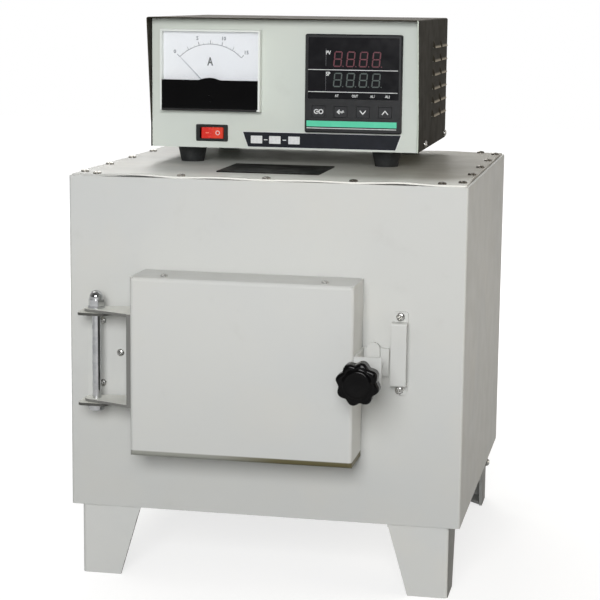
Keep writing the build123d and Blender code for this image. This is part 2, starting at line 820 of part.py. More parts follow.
export_step(terminal_cover.part, "parts/terminal_cover.step")

controller_bottom = cover_top + controller_foot_height
tray_rear_y = back_y - controller_from_rear
panel_y = tray_rear_y - controller_depth
controller_gland_x = controller_left + controller_width - controller_gland_inset
controller_gland_z = controller_bottom + controller_gland_rise

with BuildPart() as cable_glands:
    # Threaded tube, hexagon outside the wall, lock nut inside it.
    for seat in (
        Plane(origin=(door_x, gland_y, gland_z), x_dir=(1, 0, 0), z_dir=(0, 0, -1)),
        Plane(
            origin=(controller_gland_x, tray_rear_y, controller_gland_z),
            x_dir=(1, 0, 0),
            z_dir=(0, 1, 0),
        ),
    ):
        wall = sheet if seat.z_dir.Z < 0 else controller_sheet
        with BuildSketch(seat.offset(-wall - gland_lock_height)):
            Circle(gland_thread_radius)
            Circle(gland_bore_radius, mode=Mode.SUBTRACT)
        extrude(amount=wall + gland_lock_height + gland_length)
        with BuildSketch(seat):
            RegularPolygon(gland_nut_flats / 2, 6, major_radius=False)
            Circle(gland_bore_radius, mode=Mode.SUBTRACT)
        extrude(amount=gland_nut_height)
        with BuildSketch(seat.offset(-wall - gland_lock_height)):
            RegularPolygon(gland_nut_flats / 2, 6, major_radius=False)
            Circle(gland_bore_radius, mode=Mode.SUBTRACT)
        extrude(amount=gland_lock_height)
cable_glands.part.label = "cable_glands"
export_step(cable_glands.part, "parts/cable_glands.step")

# =========================================================================================
# Hinge: a fixed bracket on the casing, the door's bracket over it, and a bolt through both
# =========================================================================================
pin_y = front_y - hinge_pin_out
hinge_z = door_z + hinge_rise
hinge_low_z = hinge_z - (hinge_span + hinge_ear_gap + hinge_plate) / 2
hinge_high_z = hinge_low_z + hinge_span
door_ear_low_z = hinge_low_z + hinge_plate + hinge_ear_gap
door_ear_high_z = hinge_high_z + hinge_ear_gap + hinge_plate
hinge_hole_radius = hinge_pin_radius + hinge_fit
hinge_screw_places = [
    (hinge_pin_x, hinge_z - hinge_screw_pitch),
    (hinge_pin_x + hinge_screw_side, hinge_z),
    (hinge_pin_x, hinge_z + hinge_screw_pitch),
]

with BuildPart() as hinge_fixed_bracket:
    with BuildSketch(upright(front_y)) as back_plate:
        with Locations(
            (hinge_pin_x + (hinge_fixed_right - hinge_fixed_left) / 2, hinge_low_z + hinge_span / 2)
        ):
            Rectangle(hinge_fixed_left + hinge_fixed_right, hinge_span)
        with Locations(*hinge_screw_places):
            Circle(hinge_shank_radius + thread_fit, mode=Mode.SUBTRACT)
    extrude(amount=hinge_plate)
    for z in (hinge_low_z, hinge_high_z - hinge_plate):
        with BuildSketch(level(z)) as fixed_ear:
            with BuildLine():
                Polyline(
                    (hinge_pin_x - hinge_fixed_left, front_y),
                    (hinge_pin_x - hinge_fixed_left, front_y - hinge_fixed_reach),
                    (hinge_pin_x + hinge_ear_radius, front_y - hinge_fixed_reach),
                    (hinge_pin_x + hinge_fixed_right, front_y - hinge_plate - hinge_ear_root),
                    (hinge_pin_x + hinge_fixed_right, front_y),
                    close=True,
                )
            make_face()
            fillet(fixed_ear.vertices().group_by(Axis.Y)[0], hinge_ear_corner)
            with Locations((hinge_pin_x, pin_y)):
                Circle(hinge_hole_radius, mode=Mode.SUBTRACT)
        extrude(amount=hinge_plate)
hinge_fixed_bracket.part.label = "hinge_fixed_bracket"
export_step(hinge_fixed_bracket.part, "parts/hinge_fixed_bracket.step")

hinge_screw = screw_solid(hinge_screw_radius, hinge_screw_height, hinge_shank_radius, hinge_plate)
with BuildPart() as hinge_screws:
    with Locations(
        *[Plane(origin=(x, front_y - hinge_plate, z), z_dir=(0, -1, 0)) for x, z in hinge_screw_places]
    ):
        add(hinge_screw)
hinge_screws.part.label = "hinge_screws"
export_step(hinge_screws.part, "parts/hinge_screws.step")

# The door's bracket: a web down the door's side and two ears that taper to the pin.
web_left = door_left - hinge_web
web_front_y = door_front_y + hinge_web_set_back
web_back_y = front_y - hinge_plate - hinge_back_clearance
with BuildPart() as hinge_door_bracket:
    with BuildSketch(level(door_ear_low_z)):
        with Locations(((web_left + door_left) / 2, (web_front_y + web_back_y) / 2)):
            Rectangle(hinge_web, web_back_y - web_front_y)
    extrude(amount=door_ear_high_z - door_ear_low_z)
    for z in (door_ear_low_z, door_ear_high_z - hinge_plate):
        with BuildSketch(level(z)):
            with BuildLine():
                Polyline(
                    (hinge_pin_x, pin_y - hinge_ear_radius),
                    (door_left, web_front_y),
                    (door_left, web_back_y),
                    (hinge_pin_x, pin_y + hinge_ear_radius),
                )
                ThreePointArc(
                    (hinge_pin_x, pin_y + hinge_ear_radius),
                    (hinge_pin_x - hinge_ear_radius, pin_y),
                    (hinge_pin_x, pin_y - hinge_ear_radius),
                )
            make_face()
            with Locations((hinge_pin_x, pin_y)):
                Circle(hinge_hole_radius, mode=Mode.SUBTRACT)
        extrude(amount=hinge_plate)
hinge_door_bracket.part.label = "hinge_door_bracket"
export_step(hinge_door_bracket.part, "parts/hinge_door_bracket.step")

washer_z = door_ear_high_z + washer_gap
nut_z = washer_z + washer_thickness
with BuildPart() as hinge_pin:
    with BuildSketch(level(hinge_low_z - bolt_head_height)):
        with Locations((hinge_pin_x, pin_y)):
            Circle(bolt_head_radius)
    extrude(amount=bolt_head_height)
    fillet(hinge_pin.edges().group_by(Axis.Z)[0], bolt_head_round)
    with BuildSketch(level(hinge_low_z)):
        with Locations((hinge_pin_x, pin_y)):
            Circle(hinge_pin_radius)
    extrude(amount=nut_z + nut_hex_height + bolt_end - hinge_low_z)
hinge_pin.part.label = "hinge_pin"
export_step(hinge_pin.part, "parts/hinge_pin.step")

with BuildPart() as hinge_washer:
    with BuildSketch(level(washer_z)):
        with Locations((hinge_pin_x, pin_y)):
            Circle(washer_radius)
            Circle(hinge_hole_radius, mode=Mode.SUBTRACT)
    extrude(amount=washer_thickness)
hinge_washer.part.label = "hinge_washer"
export_step(hinge_washer.part, "parts/hinge_washer.step")

with BuildPart() as hinge_dome_nut:
    with BuildSketch(level(nut_z)):
        with Locations((hinge_pin_x, pin_y)):
            RegularPolygon(nut_flats / 2, 6, major_radius=False)
    extrude(amount=nut_hex_height)
    # The dome, turned about the pin's axis.
    with BuildSketch(Plane(origin=(hinge_pin_x, pin_y, nut_z), x_dir=(1, 0, 0), z_dir=(0, -1, 0))):
        with BuildLine():
            dome_side = nut_height - nut_dome_radius
            Polyline((0, 0), (nut_dome_radius, 0), (nut_dome_radius, dome_side))
            RadiusArc((nut_dome_radius, dome_side), (0, nut_height), -nut_dome_radius)
            Line((0, nut_height), (0, 0))
        make_face()
    revolve(axis=Axis((hinge_pin_x, pin_y, 0), (0, 0, 1)))
    with BuildSketch(level(nut_z)):
        with Locations((hinge_pin_x, pin_y)):
            Circle(hinge_hole_radius)
    extrude(amount=nut_hex_height + 1.5 * bolt_end, mode=Mode.SUBTRACT)
hinge_dome_nut.part.label = "hinge_dome_nut"
export_step(hinge_dome_nut.part, "parts/hinge_dome_nut.step")

# =========================================================================================
# Door
# =========================================================================================
door_screw_places = [
    (door_x + side * door_screw_spread / 2, door_front_y + door_screw_from_front) for side in (-1, 1)
]
relief_places = [
    (door_x + side * (door_width / 2 - door_bend * 0.55), door_front_y + door_bend * 0.55)
    for side in (-1, 1)
]
with BuildPart() as door_shell:
    with BuildSketch(upright(door_back_y)):
        with Locations((door_x, door_z)):
            Rectangle(door_width, door_height)
    extrude(amount=door_depth)
    fillet(door_shell.faces().sort_by(Axis.Y)[0].edges(), door_bend)
    offset(amount=-sheet, openings=door_shell.faces().sort_by(Axis.Y)[-1])
    # Holes left at the corners, where the folded sides meet the front.
    for z in (door_z - door_height / 2, door_z + door_height / 2 - door_bend):
        with BuildSketch(level(z)):
            with Locations(*relief_places):
                Circle(door_corner_relief)
        extrude(amount=door_bend, mode=Mode.SUBTRACT)
    with BuildSketch(level(door_z + door_height / 2 - sheet)):
        with Locations(*door_screw_places):
            Circle(door_shank_radius + thread_fit)
    extrude(amount=sheet, mode=Mode.SUBTRACT)
door_shell.part.label = "door_shell"
export_step(door_shell.part, "parts/door_shell.step")

plug_root_width = chamber_width + 2 * (throat_flare - plug_side_gap)
plug_root_height = chamber_height + 2 * (throat_flare - plug_side_gap)
lining_front_y = door_front_y + sheet + soft_gap
lining_back_y = door_back_y - sheet
with BuildPart() as door_back_plate:
    with BuildSketch(upright(door_back_y)):
        with Locations((door_x, door_z)):
            Rectangle(door_width - 2 * (sheet + clearance), door_height - 2 * (sheet + clearance))
            Rectangle(plug_root_width + 2 * clearance, plug_root_height + 2 * clearance,
                      mode=Mode.SUBTRACT)
    extrude(amount=sheet)
door_back_plate.part.label = "door_back_plate"
export_step(door_back_plate.part, "parts/door_back_plate.step")

with BuildPart() as door_lining:
    with BuildSketch(upright(lining_back_y)):
        with Locations((door_x, door_z)):
            Rectangle(door_width - 2 * (sheet + soft_gap), door_height - 2 * (sheet + soft_gap))
    extrude(amount=lining_back_y - lining_front_y)
    fillet(
        door_lining.faces().sort_by(Axis.Y)[0].edges(),
        door_bend - sheet,
    )
door_lining.part.label = "door_lining"
export_step(door_lining.part, "parts/door_lining.step")

with BuildPart() as door_plug:
    with BuildSketch(upright(lining_back_y)):
        with Locations((door_x, door_z)):
            Rectangle(plug_root_width, plug_root_height)
    extrude(amount=lining_back_y - front_y)
    with BuildSketch(upright(front_y)):
        with Locations((door_x, door_z)):
            Rectangle(plug_root_width, plug_root_height)
    with BuildSketch(upright(front_y + plug_reach)):
        with Locations((door_x, door_z)):
            Rectangle(plug_root_width - 2 * plug_taper, plug_root_height - 2 * plug_taper)
    loft()
door_plug.part.label = "door_plug"
export_step(door_plug.part, "parts/door_plug.step")

door_screw = screw_solid(door_screw_radius, door_screw_height, door_shank_radius, sheet)
with BuildPart() as door_screws:
    with Locations(*[(x, y, door_z + door_height / 2) for x, y in door_screw_places]):
        add(door_screw)
door_screws.part.label = "door_screws"
export_step(door_screws.part, "parts/door_screws.step")

# =========================================================================================
# Latch: a bracket on the door's side carries a spindle with a cam and a lobed knob
# =========================================================================================
latch_x = door_right + latch_out
latch_z = door_z + latch_rise
latch_bracket_z = door_z + latch_bracket_rise
bracket_front_y = door_front_y + latch_bracket_front
bracket_back_y = door_back_y - latch_bracket_back
rear_flange_y = bracket_back_y - latch_bracket_sheet
with BuildPart() as latch_bracket:
    with BuildSketch(level(latch_bracket_z - latch_bracket_height / 2)):
        with BuildLine():
            # Channel in plan: front flange, web on the door's side, rear flange.
            Polyline(
                (door_right + latch_bracket_width, bracket_front_y),
                (door_right, bracket_front_y),
                (door_right, bracket_back_y),
                (door_right + latch_bracket_width, bracket_back_y),
                (door_right + latch_bracket_width, rear_flange_y),
                (door_right + latch_bracket_sheet, rear_flange_y),
                (door_right + latch_bracket_sheet, bracket_front_y + latch_bracket_sheet),
                (door_right + latch_bracket_width, bracket_front_y + latch_bracket_sheet),
                close=True,
            )
        make_face()
    extrude(amount=latch_bracket_height)
    with BuildSketch(upright(bracket_back_y)):
        with Locations((latch_x, latch_z)):
            Circle(spindle_radius + spindle_fit)
    extrude(amount=bracket_back_y - bracket_front_y, mode=Mode.SUBTRACT)
latch_bracket.part.label = "latch_bracket"
export_step(latch_bracket.part, "parts/latch_bracket.step")

cam_back_y = rear_flange_y - cam_gap
cam_front_y = cam_back_y - cam_thickness
hub_seat_y = bracket_front_y - knob_stand_off
knob_back_y = hub_seat_y - knob_hub_length
knob_front_y = knob_back_y - knob_thickness
spindle_back_y = bracket_back_y + spindle_tail
with BuildPart() as latch_spindle:
    with BuildSketch(upright(spindle_back_y)):
        with Locations((latch_x, latch_z)):
            Circle(spindle_radius)
    extrude(amount=spindle_back_y - knob_back_y)
    chamfer(latch_spindle.edges().group_by(Axis.Y)[-1], small_bevel)
    # Collars each side of the front flange.
    inner_collar_y = bracket_front_y + latch_bracket_sheet + clearance
    for y in (bracket_front_y - clearance, inner_collar_y + collar_thickness):
        with BuildSketch(upright(y)):
            with Locations((latch_x, latch_z)):
                Circle(collar_radius)
        extrude(amount=collar_thickness)
latch_spindle.part.label = "latch_spindle"
export_step(latch_spindle.part, "parts/latch_spindle.step")

with BuildPart() as latch_cam:
    # Hub and a round-ended tongue, standing upright when the latch is free.
    with BuildSketch(upright(cam_back_y)) as cam_outline:
        with Locations((latch_x, latch_z)):
            Circle(cam_hub_radius)
        with Locations((latch_x, latch_z + (cam_reach - cam_width / 2) / 2)):
            Rectangle(cam_width, cam_reach - cam_width / 2)
        with Locations((latch_x, latch_z + cam_reach - cam_width / 2)):
            Circle(cam_width / 2)
        with Locations((latch_x, latch_z)):
            Circle(spindle_radius + press_fit, mode=Mode.SUBTRACT)
    extrude(amount=cam_thickness)
    nose = latch_cam.faces().sort_by(Axis.Y)[-1].outer_wire().edges()
    chamfer(nose, small_bevel)
latch_cam.part.label = "latch_cam"
export_step(latch_cam.part, "parts/latch_cam.step")

with BuildPart() as latch_knob:
    # Scalloped rim: hollows between the lobes, with the lobes' shoulders rounded.
    scallop_out = knob_radius + knob_scallop_radius - knob_scallop_depth
    with BuildSketch(upright(knob_back_y)) as knob_outline:
        with Locations((latch_x, latch_z)):
            Circle(knob_radius)
            with PolarLocations(scallop_out, knob_lobes, start_angle=knob_turn + 180 / knob_lobes):
                Circle(knob_scallop_radius, mode=Mode.SUBTRACT)
        fillet(knob_outline.vertices(), knob_lobe_round)
    extrude(amount=knob_thickness)
    fillet(latch_knob.faces().sort_by(Axis.Y)[0].edges(), knob_edge)
    fillet(latch_knob.faces().sort_by(Axis.Y)[-1].edges(), knob_edge * 0.5)
    # Tapered hub behind the rim, bored for the spindle.
    with BuildSketch(upright(hub_seat_y)):
        with Locations((latch_x, latch_z)):
            Circle(knob_hub_root)
    with BuildSketch(upright(knob_back_y)):
        with Locations((latch_x, latch_z)):
            Circle(knob_hub_radius)
    loft()
    with BuildSketch(upright(hub_seat_y)):
        with Locations((latch_x, latch_z)):
            Circle(spindle_radius + press_fit)
    extrude(amount=knob_hub_length, mode=Mode.SUBTRACT)
latch_knob.part.label = "latch_knob"
export_step(latch_knob.part, "parts/latch_knob.step")

keeper_left = door_right + latch_bracket_width + keeper_gap
keeper_right = keeper_left + keeper_width
keeper_low = latch_z - keeper_below
keeper_high = latch_z + keeper_above
keeper_out = keeper_slot + keeper_sheet
keeper_screw_places = [
    ((keeper_left + keeper_right) / 2, keeper_low - keeper_foot / 2 - keeper_sheet / 2),
    ((keeper_left + keeper_right) / 2, keeper_high + keeper_foot / 2 + keeper_sheet / 2),
]
with BuildPart() as latch_keeper:
    with BuildSketch(sideways(keeper_left)):
        with BuildLine():
            # Bent strip seen from its edge: foot, riser, bridge, riser, foot.
            Polyline(
                (front_y, keeper_low - keeper_foot),
                (front_y - keeper_sheet, keeper_low - keeper_foot),
                (front_y - keeper_sheet, keeper_low - keeper_sheet),
                (front_y - keeper_out, keeper_low - keeper_sheet),
                (front_y - keeper_out, keeper_high + keeper_sheet),
                (front_y - keeper_sheet, keeper_high + keeper_sheet),
                (front_y - keeper_sheet, keeper_high + keeper_foot),
                (front_y, keeper_high + keeper_foot),
                (front_y, keeper_high),
                (front_y - keeper_slot, keeper_high),
                (front_y - keeper_slot, keeper_low),
                (front_y, keeper_low),
                close=True,
            )
        make_face()
    extrude(amount=keeper_width)
    bridge_bends = latch_keeper.edges().filter_by(Axis.X).group_by(Axis.Y)[0]
    fillet(bridge_bends, keeper_sheet)
    feet_ends = latch_keeper.edges().filter_by(Axis.Y).group_by(Axis.Z)
    fillet(feet_ends[0] + feet_ends[-1], keeper_corner)
    with BuildSketch(upright(front_y)):
        with Locations(*keeper_screw_places):
            Circle(keeper_shank_radius + thread_fit)
    extrude(amount=keeper_sheet, mode=Mode.SUBTRACT)
latch_keeper.part.label = "latch_keeper"
export_step(latch_keeper.part, "parts/latch_keeper.step")

keeper_screw = screw_solid(keeper_screw_radius, keeper_screw_height, keeper_shank_radius, keeper_sheet)
with BuildPart() as keeper_screws:
    with Locations(
        *[Plane(origin=(x, front_y - keeper_sheet, z), z_dir=(0, -1, 0)) for x, z in keeper_screw_places]
    ):
        add(keeper_screw)
keeper_screws.part.label = "keeper_screws"
export_step(keeper_screws.part, "parts/keeper_screws.step")

# =========================================================================================
# Controller cabinet
# =========================================================================================
controller_right = controller_left + controller_width
controller_x = (controller_left + controller_right) / 2
controller_top = controller_bottom + controller_height
tray_middle_y = (panel_y + tray_rear_y) / 2
foot_places = [
    (x, y)
    for x in (controller_left + controller_foot_inset, controller_right - controller_foot_inset)
    for y in (panel_y + controller_foot_front, tray_rear_y - controller_foot_front)
]

with BuildPart() as controller_feet:
    for x, y in foot_places:
        with BuildSketch(level(cover_top)):
            with Locations((x, y)):
                Circle(controller_foot_bottom)
        with BuildSketch(level(controller_bottom)):
            with Locations((x, y)):
                Circle(controller_foot_top)
        loft()
controller_feet.part.label = "controller_feet"
export_step(controller_feet.part, "parts/controller_feet.step")

with BuildPart() as controller_tray:
    # Floor, and a rear wall folded up from it.
    with BuildSketch(sideways(controller_left)):
        with BuildLine():
            Polyline(
                (panel_y + controller_sheet, controller_bottom),
                (tray_rear_y, controller_bottom),
                (tray_rear_y, controller_top),
                (tray_rear_y - controller_sheet, controller_top),
                (tray_rear_y - controller_sheet, controller_bottom + controller_sheet),
                (panel_y + controller_sheet, controller_bottom + controller_sheet),
                close=True,
            )
        make_face()
    extrude(amount=controller_width)
    with BuildSketch(upright(tray_rear_y)):
        with Locations((controller_gland_x, controller_gland_z)):
            Circle(gland_thread_radius + thread_fit)
    extrude(amount=controller_sheet, mode=Mode.SUBTRACT)
controller_tray.part.label = "controller_tray"
export_step(controller_tray.part, "parts/controller_tray.step")

meter_x = controller_left + meter_left + meter_width / 2
meter_low_z = controller_bottom + meter_bottom
meter_z = meter_low_z + meter_height / 2
needle_z = meter_low_z + needle_pivot_rise
switch_x = controller_left + switch_left + switch_width / 2
switch_z = controller_bottom + switch_bottom + switch_height / 2
instrument_x = controller_right - instrument_right - instrument_size / 2
instrument_low_z = controller_bottom + instrument_bottom
instrument_z = instrument_low_z + instrument_size / 2
switch_body_width = switch_width - 3.0
switch_body_height = switch_height - 2.5

with BuildPart() as controller_panel:
    with BuildSketch(upright(panel_y + controller_sheet)):
        with Locations((controller_x, (controller_bottom + controller_top) / 2)):
            Rectangle(controller_width, controller_height)
        with Locations((meter_x, meter_z)):
            Circle(meter_can_radius + clearance, mode=Mode.SUBTRACT)
        with Locations((switch_x, switch_z)):
            Rectangle(
                switch_body_width + clearance, switch_body_height + clearance, mode=Mode.SUBTRACT
            )
        with Locations((instrument_x, instrument_z)):
            Rectangle(
                instrument_body + 2 * clearance, instrument_body + 2 * clearance, mode=Mode.SUBTRACT
            )
    extrude(amount=controller_sheet)
controller_panel.part.label = "controller_panel"
export_step(controller_panel.part, "parts/controller_panel.step")

# One louvre: a hood pressed out of the wall, open along its lower edge.  It is made on the plane
# x = 0 with the wall on its -X side, and placed or mirrored from there.
with BuildPart(mode=Mode.PRIVATE) as louvre_hood:
    with BuildSketch(upright(louvre_length / 2)):
        with BuildLine():
            Polyline(
                (-controller_sheet, louvre_height / 2),
                (0, louvre_height / 2),
                (louvre_bulge, -louvre_height / 2),
                (-controller_sheet, -louvre_height / 2),
                close=True,
            )
        make_face()
    extrude(amount=louvre_length)
    hood_face = louvre_hood.faces().sort_by(Axis.X)[-1]
    chamfer(hood_face.edges().filter_by(Axis.Y, reverse=True), louvre_bulge * 0.8)

with BuildPart(mode=Mode.PRIVATE) as louvre_cut:
    with BuildSketch(upright(louvre_length / 2 - louvre_bulge)):
        with BuildLine():
            Polyline(
                (-controller_sheet - 1, louvre_height / 2 - 1.6 * controller_sheet),
                (-0.4, louvre_height / 2 - 1.6 * controller_sheet),
                (louvre_bulge - controller_sheet, -louvre_height / 2),
                (-controller_sheet - 1, -louvre_height / 2),
                close=True,
            )
        make_face()
    extrude(amount=louvre_length - 2 * louvre_bulge)

cover_side = controller_width / 2 + cover_fit + controller_sheet
cover_crown = controller_top + cover_fit + controller_sheet
cover_rear_y = tray_rear_y
side_screw_ys = (panel_y + side_screw_front, tray_rear_y - side_screw_back)
louvre_places = [
    (
        panel_y + louvre_first_column + column * louvre_column_pitch,
        controller_top - louvre_drop - row * louvre_pitch,
    )
    for column in range(louvre_columns)
    for row in range(louvre_rows)
]
with BuildPart() as controller_cover:
    # Raked side outline, extruded across, then hollowed from below.
    with BuildSketch(sideways(controller_x - cover_side)):
        with BuildLine():
            Polyline(
                (panel_y, controller_bottom),
                (panel_y, controller_bottom + cover_flush_height),
                (panel_y - cover_overhang, cover_crown),
                (cover_rear_y, cover_crown),
                (cover_rear_y, controller_bottom),
                close=True,
            )
        make_face()
    extrude(amount=2 * cover_side)
    top_bends = controller_cover.edges().filter_by(Axis.Y).group_by(Axis.Z)[-1]
    fillet(top_bends, cover_bend)
    room_height = cover_crown - controller_sheet - controller_bottom
    with BuildSketch(upright(cover_rear_y)) as cover_room:
        with Locations((controller_x, controller_bottom + room_height / 2)):
            Rectangle(2 * (cover_side - controller_sheet), room_height)
        fillet(cover_room.vertices().group_by(Axis.Y)[-1], cover_bend - controller_sheet)
    extrude(amount=controller_depth + cover_overhang, mode=Mode.SUBTRACT)
    for side in (-1, 1):
        wall_x = controller_x + side * cover_side
        seats = [Location((wall_x, y, z)) for y, z in louvre_places]
        hood = louvre_hood.part
        cut = louvre_cut.part
        if side < 0:
            hood = mirror(hood, about=Plane.YZ, mode=Mode.PRIVATE)
            cut = mirror(cut, about=Plane.YZ, mode=Mode.PRIVATE)
        with Locations(*seats):
            add(hood)
        with Locations(*seats):
            add(cut, mode=Mode.SUBTRACT)
    # Screw holes near the lower edge of both sides.
    with BuildSketch(sideways(controller_x - cover_side)):
        with Locations(*[(y, controller_bottom + side_screw_rise) for y in side_screw_ys]):
            Circle(side_shank_radius + thread_fit)
    extrude(amount=2 * cover_side, mode=Mode.SUBTRACT)
controller_cover.part.label = "controller_cover"
export_step(controller_cover.part, "parts/controller_cover.step")

side_screw = screw_solid(
    small_screw_radius, small_screw_height, side_shank_radius, controller_sheet
)
side_screw_seats = []
for side in (-1, 1):
    for y in side_screw_ys:
        seat = (controller_x + side * cover_side, y, controller_bottom + side_screw_rise)
        side_screw_seats.append(Plane(origin=seat, z_dir=(side, 0, 0)))
with BuildPart() as controller_screws:
    with Locations(*side_screw_seats):
        add(side_screw)
controller_screws.part.label = "controller_screws"
export_step(controller_screws.part, "parts/controller_screws.step")

with BuildPart() as heat_sink:
    # Finned block that cools the power regulator, standing on the tray.
    heat_sink_x = controller_left + heat_sink_inset + heat_sink_width / 2
    heat_sink_y = tray_rear_y - heat_sink_from_rear
    heat_sink_z = controller_bottom + controller_sheet
    fin_span = heat_sink_width - heat_sink_fin
    with BuildSketch(level(heat_sink_z)):
        with Locations((heat_sink_x, heat_sink_y - heat_sink_depth + heat_sink_base / 2)):
            Rectangle(heat_sink_width, heat_sink_base)
        for number in range(heat_sink_fins):
            x = heat_sink_x - fin_span / 2 + fin_span * number / (heat_sink_fins - 1)
            with Locations((x, heat_sink_y - heat_sink_depth / 2)):
                Rectangle(heat_sink_fin, heat_sink_depth)
    extrude(amount=heat_sink_height)
heat_sink.part.label = "heat_sink"
export_step(heat_sink.part, "parts/heat_sink.step")

# =========================================================================================
# Ammeter
# =========================================================================================
meter_flange_y = panel_y - meter_flange
meter_front_y = panel_y - meter_depth
skirt_front_y = panel_y - skirt_depth
dial_front_y = meter_flange_y - dial_thickness
needle_back_y = dial_front_y - needle_gap
rim_width = meter_width - 2 * meter_wall
rim_height = meter_height - 2 * meter_wall
with BuildPart() as ammeter_case:
    # Square front with a rim round the dial, on a round can behind the panel.
    with BuildSketch(upright(panel_y)):
        with Locations((meter_x, meter_z)):
            Rectangle(meter_width, meter_height)
    extrude(amount=meter_depth)
    fillet(ammeter_case.faces().sort_by(Axis.Y)[0].edges(), meter_rim_round)
    with BuildSketch(upright(meter_flange_y)):
        with Locations((meter_x, meter_z)):
            Rectangle(rim_width, rim_height)
    extrude(amount=meter_depth - meter_flange, mode=Mode.SUBTRACT)
    with BuildSketch(upright(panel_y + meter_can_depth)):
        with Locations((meter_x, meter_z)):
            Circle(meter_can_radius)
    extrude(amount=meter_can_depth)
    # Pivot post of the movement.
    with BuildSketch(upright(meter_flange_y)):
        with Locations((meter_x, needle_z)):
            Circle(meter_post_radius)
    extrude(amount=meter_flange_y - needle_back_y + 2 * needle_thickness)
ammeter_case.part.label = "ammeter_case"
export_step(ammeter_case.part, "parts/ammeter_case.step")

with BuildPart() as ammeter_dial:
    with BuildSketch(upright(meter_flange_y)):
        with Locations((meter_x, meter_z)):
            Rectangle(rim_width - 2 * clearance, rim_height - 2 * clearance)
        with Locations((meter_x, needle_z)):
            Circle(meter_post_radius + clearance, mode=Mode.SUBTRACT)
    extrude(amount=dial_thickness)
ammeter_dial.part.label = "ammeter_dial"
export_step(ammeter_dial.part, "parts/ammeter_dial.step")

skirt_top_z = meter_low_z + skirt_height
rim_top_z = meter_low_z + meter_height - meter_wall
boss_z = skirt_top_z + skirt_boss_rise - skirt_boss_radius
with BuildPart() as ammeter_window:
    # Clear pane, let into the rim above the skirt.
    with BuildSketch(upright(meter_front_y + pane_recess + pane_thickness)):
        with Locations((meter_x, (skirt_top_z + rim_top_z) / 2)):
            Rectangle(rim_width - 2 * meter_fit, rim_top_z - skirt_top_z - 2 * meter_fit)
        with Locations((meter_x, boss_z)):
            Circle(skirt_boss_radius + meter_fit, mode=Mode.SUBTRACT)
    extrude(amount=pane_thickness)
ammeter_window.part.label = "ammeter_window"
export_step(ammeter_window.part, "parts/ammeter_window.step")

skirt_low_z = meter_low_z + meter_wall + meter_fit
skirt_back_y = dial_front_y - meter_fit
with BuildPart() as ammeter_skirt:
    # Lower cover with a round boss in the middle of its upper edge, hollow behind.
    with BuildSketch(upright(skirt_back_y)):
        with Locations((meter_x, (skirt_low_z + skirt_top_z) / 2)):
            Rectangle(rim_width - 2 * meter_fit, skirt_top_z - skirt_low_z)
        with BuildSketch(mode=Mode.PRIVATE) as boss:
            with Locations((meter_x, boss_z)):
                Circle(skirt_boss_radius)
            with Locations((meter_x, skirt_top_z - skirt_boss_radius)):
                Rectangle(4 * skirt_boss_radius, 2 * skirt_boss_radius, mode=Mode.SUBTRACT)
        add(boss.sketch)
    extrude(amount=skirt_back_y - skirt_front_y)
    fillet(ammeter_skirt.faces().sort_by(Axis.Y)[0].edges(), skirt_round)
    with BuildSketch(upright(skirt_back_y)):
        with Locations((meter_x, (skirt_low_z + skirt_top_z + skirt_boss_radius + skirt_wall) / 2)):
            Rectangle(
                rim_width - 2 * (meter_fit + skirt_wall),
                skirt_top_z + skirt_boss_radius - skirt_low_z - skirt_wall,
            )
    extrude(amount=skirt_back_y - skirt_front_y - skirt_wall, mode=Mode.SUBTRACT)
    with BuildSketch(upright(skirt_front_y + skirt_wall)):
        with Locations((meter_x, meter_low_z + zero_screw_rise)):
            Circle(zero_screw_radius + turning_fit)
    extrude(amount=skirt_wall, mode=Mode.SUBTRACT)
ammeter_skirt.part.label = "ammeter_skirt"
export_step(ammeter_skirt.part, "parts/ammeter_skirt.step")

with BuildPart() as ammeter_needle:
    # Tapered pointer on a hub, resting at the left end of its sweep.
    lean = radians(needle_sweep / 2)
    tip = (meter_x - needle_length * sin(lean), needle_z + needle_length * cos(lean))
    tail = (meter_x + needle_tail * sin(lean), needle_z - needle_tail * cos(lean))
    across = (cos(lean) / 2, sin(lean) / 2)
    with BuildSketch(upright(needle_back_y)):
        with BuildLine():
            Polyline(
                (tip[0] - needle_tip_width * across[0], tip[1] - needle_tip_width * across[1]),
                (tip[0] + needle_tip_width * across[0], tip[1] + needle_tip_width * across[1]),
                (tail[0] + needle_tail_width * across[0], tail[1] + needle_tail_width * across[1]),
                (tail[0] - needle_tail_width * across[0], tail[1] - needle_tail_width * across[1]),
                close=True,
            )
        make_face()
        with Locations((meter_x, needle_z)):
            Circle(needle_hub_radius)
            Circle(meter_post_radius + turning_fit, mode=Mode.SUBTRACT)
    extrude(amount=needle_thickness)
ammeter_needle.part.label = "ammeter_needle"
export_step(ammeter_needle.part, "parts/ammeter_needle.step")

with BuildPart() as ammeter_zero_screw:
    with BuildSketch(upright(skirt_front_y + skirt_wall)):
        with Locations((meter_x, meter_low_z + zero_screw_rise)):
            Circle(zero_screw_radius)
    extrude(amount=skirt_wall + zero_screw_proud)
    with BuildSketch(upright(skirt_front_y - zero_screw_proud + zero_screw_slot_depth)):
        with Locations((meter_x, meter_low_z + zero_screw_rise)):
            Rectangle(2 * zero_screw_radius, zero_screw_slot)
    extrude(amount=zero_screw_slot_depth, mode=Mode.SUBTRACT)
ammeter_zero_screw.part.label = "ammeter_zero_screw"
export_step(ammeter_zero_screw.part, "parts/ammeter_zero_screw.step")

